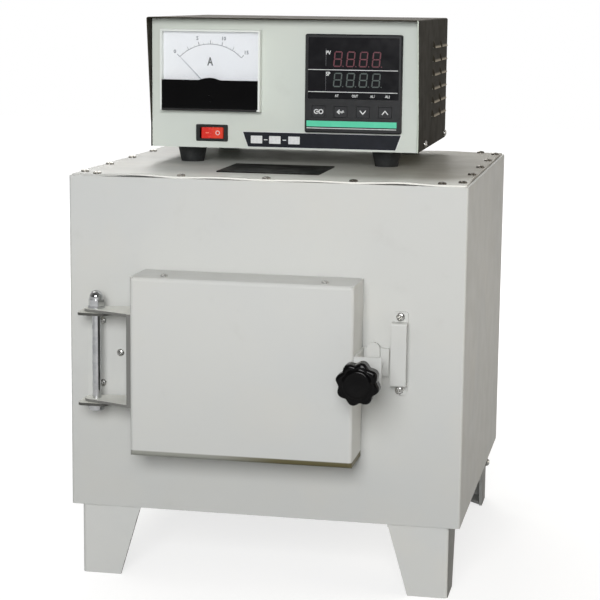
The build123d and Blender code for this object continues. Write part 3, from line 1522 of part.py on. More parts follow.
# =========================================================================================
# Power switch
# =========================================================================================
rocker_radius = rocker_width / 2
pivot_y = panel_y + rocker_pivot_depth
well_y = pivot_y + rocker_well
with BuildPart() as switch_frame:
    with BuildSketch(upright(panel_y)) as bezel_outline:
        with Locations((switch_x, switch_z)):
            Rectangle(switch_width, switch_height)
        fillet(bezel_outline.vertices(), switch_corner)
    extrude(amount=switch_rim)
    with BuildSketch(upright(panel_y + switch_body_depth)):
        with Locations((switch_x, switch_z)):
            Rectangle(switch_body_width, switch_body_height)
    extrude(amount=switch_body_depth)
    chamfer(switch_frame.faces().sort_by(Axis.Y)[0].edges(), switch_bevel)
    with BuildSketch(upright(well_y)):
        with Locations((switch_x, switch_z)):
            Rectangle(2 * (rocker_radius + rocker_gap), rocker_height + 2 * rocker_gap)
    extrude(amount=well_y - panel_y + switch_rim, mode=Mode.SUBTRACT)
switch_frame.part.label = "switch_frame"
export_step(switch_frame.part, "parts/switch_frame.step")

with BuildPart() as switch_rocker:
    # Plan of the rocker about its pivot: two front faces, round ends, a narrow heel.
    front_angle = radians(30)
    heel_angle = radians(12)
    with BuildSketch(level(switch_z - rocker_height / 2)):
        with BuildLine():
            front_left = (-rocker_radius * cos(front_angle), -rocker_radius * sin(front_angle))
            front_right = (rocker_radius * cos(front_angle), -rocker_radius * sin(front_angle))
            back_left = (-rocker_radius * cos(heel_angle), rocker_radius * sin(heel_angle))
            back_right = (rocker_radius * cos(heel_angle), rocker_radius * sin(heel_angle))
            Polyline(front_left, (0, -rocker_radius * sin(front_angle) + rocker_dish), front_right)
            ThreePointArc(front_right, (rocker_radius, 0), back_right)
            Polyline(
                back_right,
                (rocker_heel_half, rocker_heel),
                (-rocker_heel_half, rocker_heel),
                back_left,
            )
            ThreePointArc(back_left, (-rocker_radius, 0), front_left)
        make_face()
    extrude(amount=rocker_height)
switch_pose = Location((switch_x, pivot_y, 0), (0, 0, rocker_tilt))
switch_rocker.part = switch_rocker.part.moved(switch_pose)
switch_rocker.part.label = "switch_rocker"
export_step(switch_rocker.part, "parts/switch_rocker.step")

# =========================================================================================
# Temperature instrument
# =========================================================================================
instrument_front_y = panel_y - instrument_proud
lens_width = instrument_size - 2 * instrument_rim
lens_height = instrument_size - instrument_rim - lens_bottom
lens_z = instrument_low_z + lens_bottom + lens_height / 2
key_back_y = instrument_front_y + key_pocket - key_travel - clearance
key_row_x = instrument_x - instrument_size / 2 + key_row_middle
key_places = [
    (key_row_x + (number - (key_count - 1) / 2) * key_pitch, instrument_low_z + key_rise)
    for number in range(key_count)
]
with BuildPart() as instrument_case:
    with BuildSketch(upright(panel_y)) as case_outline:
        with Locations((instrument_x, instrument_z)):
            Rectangle(instrument_size, instrument_size)
        fillet(case_outline.vertices(), instrument_corner)
    extrude(amount=instrument_proud)
    chamfer(instrument_case.faces().sort_by(Axis.Y)[0].edges(), instrument_bevel)
    with BuildSketch(upright(panel_y + instrument_body_depth)):
        with Locations((instrument_x, instrument_z)):
            Rectangle(instrument_body, instrument_body)
    extrude(amount=instrument_body_depth)
    with BuildSketch(upright(instrument_front_y + lens_thickness)):
        with Locations((instrument_x, lens_z)):
            Rectangle(lens_width, lens_height)
    extrude(amount=lens_thickness, mode=Mode.SUBTRACT)
    with BuildSketch(upright(instrument_front_y + key_pocket)):
        with Locations(*key_places):
            Rectangle(key_width + 2 * key_gap, key_height + 2 * key_gap)
    extrude(amount=key_pocket, mode=Mode.SUBTRACT)
instrument_case.part.label = "instrument_case"
export_step(instrument_case.part, "parts/instrument_case.step")

with BuildPart() as instrument_lens:
    with BuildSketch(upright(instrument_front_y + lens_thickness)):
        with Locations((instrument_x, lens_z)):
            Rectangle(lens_width - 2 * lens_fit, lens_height - 2 * lens_fit)
    extrude(amount=lens_thickness - lens_recess)
instrument_lens.part.label = "instrument_lens"
export_step(instrument_lens.part, "parts/instrument_lens.step")

for number, (x, z) in enumerate(key_places, 1):
    with BuildPart() as instrument_key:
        with BuildSketch(upright(key_back_y)) as cap:
            with Locations((x, z)):
                Rectangle(key_width, key_height)
            fillet(cap.vertices(), key_corner)
        extrude(amount=key_back_y - instrument_front_y + key_proud)
        chamfer(instrument_key.faces().sort_by(Axis.Y)[0].edges(), key_bevel)
    instrument_key.part.label = f"instrument_key_{number}"
    export_step(instrument_key.part, f"parts/instrument_key_{number}.step")
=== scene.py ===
"""Looks of the box muffle furnace: its finishes, screw heads, top sheet, knob, dial, strip,
display, key and rocker marks, and the studio round it.

Every length is in metres, but a Seat's u, v and n and each name that ends in MM or mm are in
millimetres.  Colours are screen colours, 0 to 255.  Pieces sit in the frame's own
coordinates, with the floor at z = 0 and the door facing -Y.
"""

import bmesh
import bpy
import numpy as np
from mathutils import Matrix, Vector


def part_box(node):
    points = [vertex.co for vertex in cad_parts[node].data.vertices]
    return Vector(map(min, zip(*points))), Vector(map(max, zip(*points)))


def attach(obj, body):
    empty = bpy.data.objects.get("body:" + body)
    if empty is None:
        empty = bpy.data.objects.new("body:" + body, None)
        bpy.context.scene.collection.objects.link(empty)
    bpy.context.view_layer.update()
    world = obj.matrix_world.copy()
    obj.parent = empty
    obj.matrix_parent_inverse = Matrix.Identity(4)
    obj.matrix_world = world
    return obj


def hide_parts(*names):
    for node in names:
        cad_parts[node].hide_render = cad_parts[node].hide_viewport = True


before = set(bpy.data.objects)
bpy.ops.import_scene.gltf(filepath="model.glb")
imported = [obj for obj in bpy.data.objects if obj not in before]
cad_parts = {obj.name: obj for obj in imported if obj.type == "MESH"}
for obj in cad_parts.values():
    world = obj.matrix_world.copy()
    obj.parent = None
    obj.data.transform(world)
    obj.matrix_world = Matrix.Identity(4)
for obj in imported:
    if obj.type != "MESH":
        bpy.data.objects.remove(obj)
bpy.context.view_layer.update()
MM = 0.001
PRINT_MM = 0.05
RAISED_PRINT_MM = 0.06

# ---- Places, from the frame's own boxes ----
CASING_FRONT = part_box("casing_shell")[0].y
DOOR_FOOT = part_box("door_shell")[0].z
LOUVRE_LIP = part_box("controller_cover")[1].x
PANEL_CORNER, PANEL_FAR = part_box("controller_panel")
METER_CORNER, METER_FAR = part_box("ammeter_case")
DIAL_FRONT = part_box("ammeter_dial")[0].y
CASE_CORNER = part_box("instrument_case")[0]
LENS_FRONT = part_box("instrument_lens")[0].y
ROCKER_MIDDLE = sum(corner.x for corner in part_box("switch_frame")) / 2
COVER_CORNER, COVER_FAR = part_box("top_cover")
KNOB_CORNER, KNOB_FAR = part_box("latch_knob")


# ---- Shapes ----
class Seat:
    """A place and three directions: u to the right, v upwards and n out of the surface."""

    def __init__(self, origin, u, v):
        self.origin = np.array(origin, float)
        self.u = np.array(u, float)
        self.v = np.array(v, float)
        self.n = np.cross(self.u, self.v)

    def at(self, u, v, n):
        """Points u, v, n in millimetres from the seat, as places in the frame."""
        u, v, n = np.broadcast_arrays(u, v, n)
        local = np.stack([u, v, n], axis=-1) * MM
        return self.origin + local @ np.stack([self.u, self.v, self.n])

    def moved(self, u, v):
        """A seat with the same directions, u and v further on."""
        return Seat(self.at(u, v, 0.0), self.u, self.v)


def facing_front(x, y, z):
    """A seat on a surface that faces -Y."""
    return Seat((x, y, z), (1, 0, 0), (0, 0, 1))


def facing_up(x, y, z):
    """A seat on a level surface."""
    return Seat((x, y, z), (1, 0, 0), (0, 1, 0))


def facing_side(x, y, z, side):
    """A seat on a surface that faces +X or -X."""
    return Seat((x, y, z), (0, side, 0), (0, 0, 1))


def grid_faces(rows, columns, first, closed):
    """Quads between neighbouring points of a grid.  Where it is closed, the last column is
    joined to the first."""
    i, j = np.arange(rows - 1), np.arange(columns if closed else columns - 1)
    i, j = (a.ravel() for a in np.meshgrid(i, j, indexing="ij"))
    here, there = i * columns, (i + 1) * columns
    j_next = (j + 1) % columns
    return np.stack([here + j, there + j, there + j_next, here + j_next], axis=1) + first


MERGE_WITHIN = 2e-7
NO_LENGTH = 1e-8


def mount(name, mesh, finish, body):
    """Gives a mesh its finish and puts it in the scene, on the body that it rides on."""
    mesh.materials.clear()
    mesh.materials.append(finish)
    made = bpy.data.objects.new(name, mesh)
    bpy.context.scene.collection.objects.link(made)
    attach(made, body)
    return made


def piece(name, grids, finish, body, smooth_to=35.0, replaces=()):
    """One object from several grids of points.  Each grid is (points, closed).  Points that
    coincide are merged, which closes poles and seams, and the faces are turned outwards."""
    points, faces, first = [], [], 0
    for grid, closed in grids:
        rows, columns = grid.shape[:2]
        points.append(grid.reshape(-1, 3))
        faces.append(grid_faces(rows, columns, first, closed))
        first += rows * columns
    mesh = bpy.data.meshes.new(name)
    mesh.from_pydata(np.concatenate(points).tolist(), [], np.concatenate(faces).tolist())
    work = bmesh.new()
    work.from_mesh(mesh)
    bmesh.ops.remove_doubles(work, verts=work.verts, dist=MERGE_WITHIN)
    bmesh.ops.dissolve_degenerate(work, dist=NO_LENGTH, edges=work.edges)
    bmesh.ops.recalc_face_normals(work, faces=work.faces)
    work.to_mesh(mesh)
    work.free()
    mesh.shade_smooth()
    mesh.set_sharp_from_angle(angle=np.radians(smooth_to))
    made = mount(name, mesh, finish, body)
    if replaces:
        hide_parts(*replaces)


def slab(seat, outline, thickness, edge=0.0, base=0.0):
    """A thin plate: the outline's ring is carried up from the seat, drawn in by the edge
    break at the top, and both ends close on the outline's middle."""
    outline = np.array(outline, float)
    middle = outline.mean(axis=0)
    shrink = 1 - edge / np.maximum(np.linalg.norm(outline - middle, axis=1), 1e-6)[:, None]
    drawn_in = middle + (outline - middle) * shrink
    centre = np.repeat(middle[None], len(outline), axis=0)
    rings = np.stack([centre, outline, outline, drawn_in, centre])
    heights = np.array([base, base, base + thickness - edge, base + thickness, base + thickness])
    return seat.at(rings[..., 0], rings[..., 1], heights[:, None]), True


CORNER_POINTS = 6


def rectangle(width, height, radius, x=0.0, y=0.0):
    """Outline of a rectangle with round corners: four quarter circles joined in turn."""
    turn = np.linspace(0, np.pi / 2, CORNER_POINTS)
    parts = []
    for quarter, (side, end) in enumerate([(1, 1), (-1, 1), (-1, -1), (1, -1)]):
        angle = turn + quarter * np.pi / 2
        across = x + side * (width / 2 - radius) + radius * np.cos(angle)
        upwards = y + end * (height / 2 - radius) + radius * np.sin(angle)
        parts.append(np.stack([across, upwards], axis=1))
    return np.concatenate(parts)


def bar(start, end, width):
    """Outline of a straight bar from start to end, with square ends."""
    start, end = np.array(start, float), np.array(end, float)
    along = (end - start) / np.linalg.norm(end - start)
    across = np.array([-along[1], along[0]]) * width / 2
    return np.stack([start + across, start - across, end - across, end + across])


def ribbon(seat, path, width, thickness):
    """A flat strip along a plane path: at each point the strip reaches half its width to
    both sides of the path's own normal, and its section is a closed rectangle."""
    path = np.array(path, float)
    along = np.gradient(path, axis=0)
    along /= np.linalg.norm(along, axis=1)[:, None]
    across = np.stack([-along[:, 1], along[:, 0]], axis=1) * width / 2
    left, right = path + across, path - across
    section = ((left, 0.0), (left, thickness), (right, thickness), (right, 0.0))
    rows = np.stack([seat.at(edge[:, 0], edge[:, 1], height) for edge, height in section], axis=1)
    start, end = (np.repeat(rows[k].mean(axis=0)[None], 4, axis=0)[None] for k in (0, -1))
    return np.concatenate([start, rows, end]), True


def smooth_step(low, high, value):
    """0 under low and 1 over high, with the cubic 3t^2 - 2t^3 of the share t between."""
    t = np.clip((value - low) / (high - low), 0, 1)
    return t * t * (3 - 2 * t)


ARM_WIDTH = 0.07, 0.15
ARM_REACH = 0.38, 0.62
RECESS_DEPTH = 0.55


def cross_head(seat, radius, height, spin, crown):
    """A pan head with a cross recess.  Its height over a plane polar grid is a flattened
    dome, 1 - crown * (r/R)^3, less a recess that is deep where a point lies within half an
    arm's width of either of two crossed lines and fades out towards the arms' ends."""
    ring = np.concatenate([np.linspace(0, 0.62, 13), [0.70, 0.80, 0.88, 0.94, 0.98, 1.0]])
    angle = np.linspace(0, 2 * np.pi, 56, endpoint=False)
    r, a = np.meshgrid(ring, angle, indexing="ij")
    u, v = r * np.cos(a), r * np.sin(a)
    p = np.abs(u * np.cos(spin) + v * np.sin(spin))
    q = np.abs(v * np.cos(spin) - u * np.sin(spin))
    arm = np.minimum(p, q)
    reach = np.maximum(p, q)
    recess = (1 - smooth_step(*ARM_WIDTH, arm)) * (1 - smooth_step(*ARM_REACH, reach))
    top = height * (1 - crown * r**3) - RECESS_DEPTH * height * recess
    skirt = seat.at(radius * u[-1:], radius * v[-1:], 0.0)
    foot = seat.at(0 * u[-1:], 0 * v[-1:], 0.0)
    return np.concatenate([seat.at(radius * u, radius * v, top), skirt, foot]), True


def lettering(name, text, size, seat, finish, bold, narrow=1.0):
    """Printed characters, centred on the seat.  Their outlines are pushed out by bold and
    their width is multiplied by narrow."""
    curve = bpy.data.curves.new(name, "FONT")
    curve.body = text
    curve.size = size
    curve.align_x = "CENTER"
    curve.align_y = "CENTER"
    curve.extrude = PRINT_MM / 2
    curve.offset = bold
    curve.resolution_u = 3
    holder = bpy.data.objects.new(name, curve)
    bpy.context.scene.collection.objects.link(holder)
    bpy.context.view_layer.update()
    mesh = bpy.data.meshes.new_from_object(holder)
    bpy.data.objects.remove(holder)
    points = np.zeros(len(mesh.vertices) * 3, np.float32)
    mesh.vertices.foreach_get("co", points)
    points = points.reshape(-1, 3)
    placed = seat.at(narrow * points[:, 0], points[:, 1], points[:, 2] + PRINT_MM / 2)
    mesh.vertices.foreach_set("co", placed.astype(np.float32).ravel())
    mesh.update()
    mount(name, mesh, finish, "furnace")


# ---- Finishes ----
def linear(colour):
    """Screen colour, 0 to 255, as the light it stands for."""
    c = np.array(colour, float) / 255
    return tuple(np.where(c <= 0.04045, c / 12.92, ((c + 0.055) / 1.055) ** 2.4)) + (1.0,)


def node_in(tree, kind, **inputs):
    """A shader node with the sockets given by name or, as i0, i1 and so on, by number."""
    made = tree.nodes.new(kind)
    for name, value in inputs.items():
        key = int(name[1:]) if name[0] == "i" and name[1:].isdigit() else name.replace("_", " ")
        if isinstance(value, bpy.types.NodeSocket):
            tree.links.new(value, made.inputs[key])
        else:
            made.inputs[key].default_value = value
    return made


def math_in(tree, operation, a, b=0.0):
    made = node_in(tree, "ShaderNodeMath", i0=a, i1=b)
    made.operation = operation
    return made.outputs[0]


def ramp_in(tree, value, low, high, to_low=0.0, to_high=1.0):
    """A smooth step of the value, from to_low at low to to_high at high."""
    made = node_in(tree, "ShaderNodeMapRange", i0=value, i1=low, i2=high, i3=to_low, i4=to_high)
    made.interpolation_type = "SMOOTHSTEP"
    return made.outputs[0]


NOISE_ROUGHNESS = 0.55


class Finish:
    """A surface finish: a Principled shader with its colour, roughness and bump worked out
    from noise on the piece's own coordinates."""

    def __init__(self, name, colour, roughness, metallic=0.0, specular=0.5):
        self.material = bpy.data.materials.new(name)
        self.material.use_nodes = True
        self.tree = self.material.node_tree
        self.shader = self.tree.nodes["Principled BSDF"]
        self.set("Roughness", roughness)
        self.set("Metallic", metallic)
        self.set("Specular IOR Level", specular)
        self.roughness = roughness
        self.coords = self.node("ShaderNodeTexCoord").outputs["Object"]
        self.colour = self.node("ShaderNodeRGB").outputs[0]
        self.colour.default_value = linear(colour)
        self.normal = None

    def set(self, socket, value):
        """A value that is the same all over, on the shader's own socket."""
        self.shader.inputs[socket].default_value = value

    def node(self, kind, **inputs):
        return node_in(self.tree, kind, **inputs)

    def noise(self, scale, detail=3.0, stretch=None):
        coords = self.coords
        if stretch:
            coords = self.node("ShaderNodeMapping", Vector=coords, Scale=stretch).outputs[0]
        made = self.node("ShaderNodeTexNoise", Vector=coords, Scale=scale, Detail=detail)
        made.inputs["Roughness"].default_value = NOISE_ROUGHNESS
        return made.outputs["Fac"]

    def ranged(self, value, low, high, to_low=0.0, to_high=1.0):
        return ramp_in(self.tree, value, low, high, to_low, to_high)

    def along(self, axis, low, high, to_low=0.0, to_high=1.0):
        """A share that changes between two places on one of the piece's own axes."""
        places = self.node("ShaderNodeSeparateXYZ", Vector=self.coords).outputs[axis]
        return self.ranged(places, low, high, to_low, to_high)

    def normal_along(self, axis):
        texture = self.node("ShaderNodeTexCoord").outputs["Normal"]
        return self.node("ShaderNodeSeparateXYZ", Vector=texture).outputs[axis]

    def times(self, a, b):
        return math_in(self.tree, "MULTIPLY", a, b)

    def blend(self, amount, colour):
        """Lays another colour over the finish where amount is 1."""
        made = self.node("ShaderNodeMix")
        made.data_type = "RGBA"
        for index, entry in ((0, amount), (6, self.colour), (7, linear(colour))):
            if isinstance(entry, bpy.types.NodeSocket):
                self.tree.links.new(entry, made.inputs[index])
            else:
                made.inputs[index].default_value = entry
        self.colour = made.outputs[2]
        return self

    def drift(self, colour, scale, amount, low=0.4, high=0.65, detail=3.0, stretch=None):
        """Slow change of tone towards another colour."""
        mask = self.ranged(self.noise(scale, detail, stretch), low, high, 0.0, amount)
        return self.blend(mask, colour)

    def rough(self, scale, spread):
        """Roughness that wanders by spread to each side."""
        noise = self.noise(scale, 2.0)
        value = self.ranged(noise, 0.3, 0.7, self.roughness - spread, self.roughness + spread)
        self.tree.links.new(value, self.shader.inputs["Roughness"])
        return self

    def bump(self, scale, depth_mm, stretch=None, detail=2.0, strength=1.0):
        """Small relief, added to the relief that the finish has."""
        made = self.node(
            "ShaderNodeBump",
            Strength=strength,
            Distance=depth_mm * MM,
            Height=self.noise(scale, detail, stretch),
        )
        if self.normal is not None:
            self.tree.links.new(self.normal, made.inputs["Normal"])
        self.normal = made.outputs[0]
        return self

    def upright(self):
        """1 on faces that stand upright, 0 on level ones."""
        steepness = math_in(self.tree, "ABSOLUTE", self.normal_along("Z"))
        return self.ranged(steepness, 0.55, 0.85, 1.0, 0.0)

    def edge_mask(self, width_mm):
        """1 on convex edges and corners: where the normal rounded over the width leaves
        the true one."""
        rounded = self.node("ShaderNodeBevel", Radius=width_mm * MM)
        rounded.samples = 4
        true = self.node("ShaderNodeNewGeometry").outputs["True Normal"]
        dot = self.node("ShaderNodeVectorMath", i0=rounded.outputs[0], i1=true)
        dot.operation = "DOT_PRODUCT"
        return self.ranged(dot.outputs["Value"], 0.86, 0.995, 1.0, 0.0)

    def worn(self, width_mm, colour, scale, amount, low=0.42, high=0.62):
        """Edges rubbed or lit to another colour, broken up by noise."""
        patchy = self.ranged(self.noise(scale, 4.0), low, high, 0.0, amount)
        return self.blend(self.times(self.edge_mask(width_mm), patchy), colour)

    def done(self):
        self.tree.links.new(self.colour, self.shader.inputs["Base Color"])
        if self.normal is not None:
            self.tree.links.new(self.normal, self.shader.inputs["Normal"])
        return self.material


def sprayed(name, colour, cooler, warmer, rubbed):
    """Sprayed enamel on sheet: slow tone drift, faint dust, orange peel and rubbed edges."""
    made = Finish(name, colour, 0.46, specular=0.3)
    made.drift(cooler, 5.0, 0.7).drift(warmer, 9.0, 0.5, 0.5, 0.72)
    made.drift((150, 147, 140), 34.0, 0.08, 0.58, 0.80, 5.0)
    made.worn(0.7, rubbed, 210.0, 0.45)
    return made.rough(38.0, 0.06).bump(620.0, 0.03).bump(16.0, 0.25, strength=0.2)


def casing_tone(name):
    return sprayed(name, (207, 208, 205), (203, 205, 204), (210, 209, 203), (178, 176, 170))


# Where finishes change along the frame's axes, and how strong each change is.
# Painted shade: the casing's sheet darkens towards its foot.
FOOT_SHADE_FROM, FOOT_SHADE_TO, FOOT_SHADE = 0.07, 0.30, 0.27
# The door's lower edge: a painted shade, grey turning olive, with a little heat discolouration.
SHADE_AND_SCORCH_WIDTH, SHADE_AND_SCORCH_FADE = 0.0046, 0.0012
OLIVE_FROM, OLIVE_TO = -0.045, 0.035
# Painted highlight on a band along the lid's front.
LID_HIGHLIGHT_TO, LID_HIGHLIGHT_FROM, LID_HIGHLIGHT = -0.14, -0.08, 0.85
LID_HIGHLIGHT_LEFT, LID_HIGHLIGHT_RIGHT = -0.16, -0.08
# Painted shade on the lid, growing to the right, where the controller shades it.
LID_SHADE_FROM, LID_SHADE_TO, LEFT_LID_SHADE, RIGHT_LID_SHADE = -0.02, 0.16, 0.18, 0.85
LEAF_FRONT, EAR_ROOT = 0.0030, 0.0045
# Painted shade on the legs' side flanges.
FLANGE_SHADE = 0.85


def shaded_low(made):
    """A painted shade: the sheet darkens towards the casing's foot."""
    tone_mask = made.along("Z", FOOT_SHADE_FROM, FOOT_SHADE_TO, FOOT_SHADE, 0.0)
    return made.blend(tone_mask, (172, 174, 172))


def door_paint():
    """The casing's enamel, with a painted shade and a little scorch, grey and olive, along the
    door's lower edge.
    """
    made = shaded_low(casing_tone("door_enamel"))
    low = DOOR_FOOT + SHADE_AND_SCORCH_WIDTH
    edge = made.along("Z", low, low + SHADE_AND_SCORCH_FADE, 1.0, 0.0)
    made.blend(edge, (146, 147, 140))
    olive = made.times(edge, made.along("X", OLIVE_FROM, OLIVE_TO))
    return made.blend(olive, (92, 86, 58)).done()


def lid_paint():
    """The casing's enamel on the top sheet, with a painted shade to the right and a painted
    highlight along the front.
    """
    made = casing_tone("lid_enamel")
    # Painted shade, growing towards the right.
    made.blend(made.along("X", LID_SHADE_FROM, LID_SHADE_TO, LEFT_LID_SHADE, RIGHT_LID_SHADE), (158, 154, 141))
    # Painted highlight: a lighter band along the front of the lid.
    lit_front = made.along("Y", LID_HIGHLIGHT_TO, LID_HIGHLIGHT_FROM, LID_HIGHLIGHT, 0.0)
    lit_front = made.times(lit_front, made.along("X", LID_HIGHLIGHT_LEFT, LID_HIGHLIGHT_RIGHT))
    return made.blend(lit_front, (246, 246, 240)).done()


def door_hinge_paint():
    """The casing's enamel on the moving hinge leaf, lightened by a painted highlight, with painted
    shade on its upright faces.
    """
    # Painted highlight over the leaf, then painted shade on its upright faces.
    made = casing_tone("door_hinge_enamel").blend(0.8, (240, 240, 232))
    return made.blend(made.upright(), (118, 118, 115)).done()


def fixed_hinge_paint():
    """Enamel on the fixed hinge leaf, with a painted highlight on the ears that stand out of the
    casing and painted shade on their upright faces.
    """
    made = casing_tone("fixed_hinge_enamel")
    ears = made.along("Y", CASING_FRONT - EAR_ROOT, CASING_FRONT - LEAF_FRONT, 1.0, 0.0)
    # Painted highlight on the ears, then painted shade on their upright faces.
    made.blend(ears, (232, 232, 224))
    return made.blend(made.times(ears, made.upright()), (80, 80, 77)).done()


def leg_paint():
    """The casing's enamel on the legs, with painted shade darkening the flanges at their sides."""
    made = casing_tone("leg_enamel")
    sideways = math_in(made.tree, "ABSOLUTE", made.normal_along("X"))
    return made.blend(made.ranged(sideways, 0.80, 0.95, 0.0, FLANGE_SHADE), (112, 113, 110)).done()


casing_enamel = shaded_low(casing_tone("casing_enamel")).done()
panel_enamel = sprayed(
    "panel_enamel", (210, 216, 208), (206, 213, 207), (213, 217, 208), (182, 186, 177)
).done()
door_enamel = door_paint()
lid_enamel = lid_paint()
leg_enamel = leg_paint()
door_hinge_enamel = door_hinge_paint()
fixed_hinge_enamel = fixed_hinge_paint()

LIP_ROOT, LIP_EDGE, LIP_HIGHLIGHT = 0.0012, 0.0002, 0.85
COVER_DUST_AND_SHEEN = 0.5
SHEET_EDGE_FADE = 0.0004


def cover_enamel():
    """Dark brown enamel, rubbed light on its edges, with a painted highlight on the louvres' lips
    and dust with a painted highlight on top.  The sheet's front edge beside the panel's right end
    has the panel's pale enamel."""
    made = Finish("cover_paint", (44, 41, 33), 0.66, specular=0.1)
    made.drift((50, 46, 38), 22.0, 0.6).drift((38, 36, 30), 60.0, 0.5, 0.5, 0.7)
    # Painted highlight along the louvres' lips.
    lip = made.along("X", LOUVRE_LIP - LIP_ROOT, LOUVRE_LIP - LIP_EDGE, 0.0, LIP_HIGHLIGHT)
    made.blend(lip, (188, 180, 164))
    # Dust and a painted highlight on the faces that look up.
    tone_mask = made.ranged(made.normal_along("Z"), 0.7, 0.95, 0.0, COVER_DUST_AND_SHEEN)
    patches = made.ranged(made.noise(30.0, 4.0), 0.3, 0.6, 0.85, 1.0)
    made.blend(made.times(tone_mask, patches), (112, 106, 97))
    front = made.ranged(made.normal_along("Y"), -0.9, -0.7, 1.0, 0.0)
    right_end = made.along("X", PANEL_FAR.x, PANEL_FAR.x + SHEET_EDGE_FADE)
    made.blend(made.times(front, right_end), (212, 220, 208))
    made.worn(0.5, (128, 122, 108), 240.0, 0.5, 0.35, 0.55)
    return made.rough(60.0, 0.04).bump(900.0, 0.03, detail=1.0).done()


cover_paint = cover_enamel()
black_enamel = (
    Finish("black_enamel", (16, 16, 16), 0.5, specular=0.1)
    .drift((26, 25, 24), 40.0, 0.5)
    .worn(0.5, (96, 94, 90), 260.0, 0.5)
    .rough(50.0, 0.08).bump(700.0, 0.03).done()
)
zinc_plate = (
    Finish("zinc_plate", (196, 196, 193), 0.26, metallic=1.0)
    .drift((166, 166, 167), 420.0, 0.5)
    .drift((178, 171, 152), 160.0, 0.25, 0.55, 0.75)
    .worn(0.25, (226, 226, 224), 700.0, 0.6)
    .rough(600.0, 0.09).bump(1500.0, 0.02).done()
)

# Painted shade on the lid's screws, growing towards the right.
UNSHADED_TO, SCREW_SHADE_FROM = -0.02, 0.08


def lid_screw_plate():
    """Zinc on the lid's screws, with a painted shade that darkens them, more so towards the right.
    """
    made = Finish("lid_zinc", (176, 174, 168), 0.28, metallic=1.0)
    made.drift((140, 136, 130), 420.0, 0.5)
    # Painted shade, growing towards the right.
    made.blend(made.along("X", UNSHADED_TO, SCREW_SHADE_FROM), (100, 96, 90))
    made.worn(0.25, (190, 188, 182), 700.0, 0.5)
    return made.rough(600.0, 0.09).bump(1500.0, 0.02).done()


lid_zinc = lid_screw_plate()
chrome_plate = (
    Finish("chrome_plate", (208, 209, 211), 0.10, metallic=1.0)
    .drift((172, 174, 178), 120.0, 0.5)
    .drift((190, 186, 176), 60.0, 0.3, 0.55, 0.75)
    .rough(260.0, 0.04).bump(900.0, 0.006).done()
)
spindle_steel = (
    Finish("spindle_steel", (150, 150, 148), 0.34, metallic=1.0)
    .drift((110, 108, 104), 260.0, 0.6, stretch=(1, 0.05, 1))
    .worn(0.3, (204, 203, 200), 500.0, 0.5)
    .rough(300.0, 0.08).bump(1800.0, 0.02, stretch=(1, 0.08, 1)).done()
)
fired_ceramic = (
    Finish("fired_ceramic", (218, 209, 190), 0.82, specular=0.3)
    .drift((196, 182, 158), 24.0, 0.7)
    .drift((150, 126, 98), 60.0, 0.35, 0.6, 0.8)
    .drift((232, 226, 212), 700.0, 0.6)
    .worn(0.9, (235, 230, 218), 120.0, 0.6)
    .rough(200.0, 0.08).bump(850.0, 0.12, detail=4.0).bump(90.0, 0.25, strength=0.5).done()
)
fibre_wool = (
    Finish("fibre_wool", (232, 229, 221), 0.95, specular=0.15)
    .drift((214, 209, 197), 60.0, 0.8)
    .drift((242, 240, 234), 500.0, 0.7, stretch=(1, 6, 1))
    .rough(300.0, 0.04).bump(700.0, 0.5, stretch=(1, 5, 1), detail=5.0)
    .bump(60.0, 1.2, strength=0.6).done()
)
scaled_wire = (
    Finish("scaled_wire", (92, 86, 82), 0.6, metallic=0.8)
    .drift((60, 54, 50), 300.0, 0.8)
    .drift((128, 104, 84), 500.0, 0.4, 0.55, 0.75)
    .rough(500.0, 0.1).bump(1400.0, 0.05, stretch=(1, 0.4, 1)).done()
)
cast_alloy = (
    Finish("cast_alloy", (176, 177, 179), 0.46, metallic=0.9)
    .drift((146, 147, 150), 90.0, 0.7)
    .worn(0.6, (208, 209, 210), 300.0, 0.6)
    .rough(220.0, 0.08).bump(1100.0, 0.09, detail=3.0).done()
)
turned_brass = (
    Finish("turned_brass", (196, 164, 98), 0.28, metallic=1.0)
    .drift((158, 126, 72), 260.0, 0.6)
    .worn(0.3, (226, 204, 150), 500.0, 0.6)
    .rough(400.0, 0.08).bump(1600.0, 0.02).done()
)
black_bakelite = (
    Finish("black_bakelite", (6, 6, 7), 0.17, specular=0.13)
    .drift((12, 11, 11), 70.0, 0.6)
    .worn(0.5, (30, 29, 28), 300.0, 0.4)
    .rough(120.0, 0.05).bump(70.0, 0.05, strength=0.5).done()
)
black_gloss = (
    Finish("black_gloss", (10, 10, 11), 0.12, specular=0.2)
    .drift((12, 12, 13), 60.0, 0.6)
    .rough(20.0, 0.015).bump(30.0, 0.004).done()
)
black_moulding = (
    Finish("black_moulding", (30, 33, 33), 0.42, specular=0.25)
    .drift((36, 38, 38), 120.0, 0.6)
    .worn(0.4, (60, 61, 61), 400.0, 0.4)
    .rough(240.0, 0.07).bump(1300.0, 0.03, detail=3.0).done()
)
instrument_moulding = (
    Finish("instrument_moulding", (31, 32, 34), 0.36, specular=0.25)
    .drift((37, 38, 40), 140.0, 0.6)
    .worn(0.4, (78, 80, 80), 400.0, 0.5)
    .rough(260.0, 0.06).bump(1500.0, 0.018, detail=3.0).done()
)
key_rubber = (
    Finish("key_rubber", (37, 38, 41), 0.48, specular=0.25)
    .drift((42, 43, 45), 200.0, 0.6)
    .rough(240.0, 0.06).bump(1700.0, 0.02, detail=3.0).done()
)
gland_nylon = (
    Finish("gland_nylon", (38, 38, 39), 0.5)
    .drift((52, 52, 52), 160.0, 0.6)
    .worn(0.5, (88, 88, 87), 300.0, 0.4)
    .rough(200.0, 0.08).bump(1200.0, 0.04, detail=3.0).done()
)
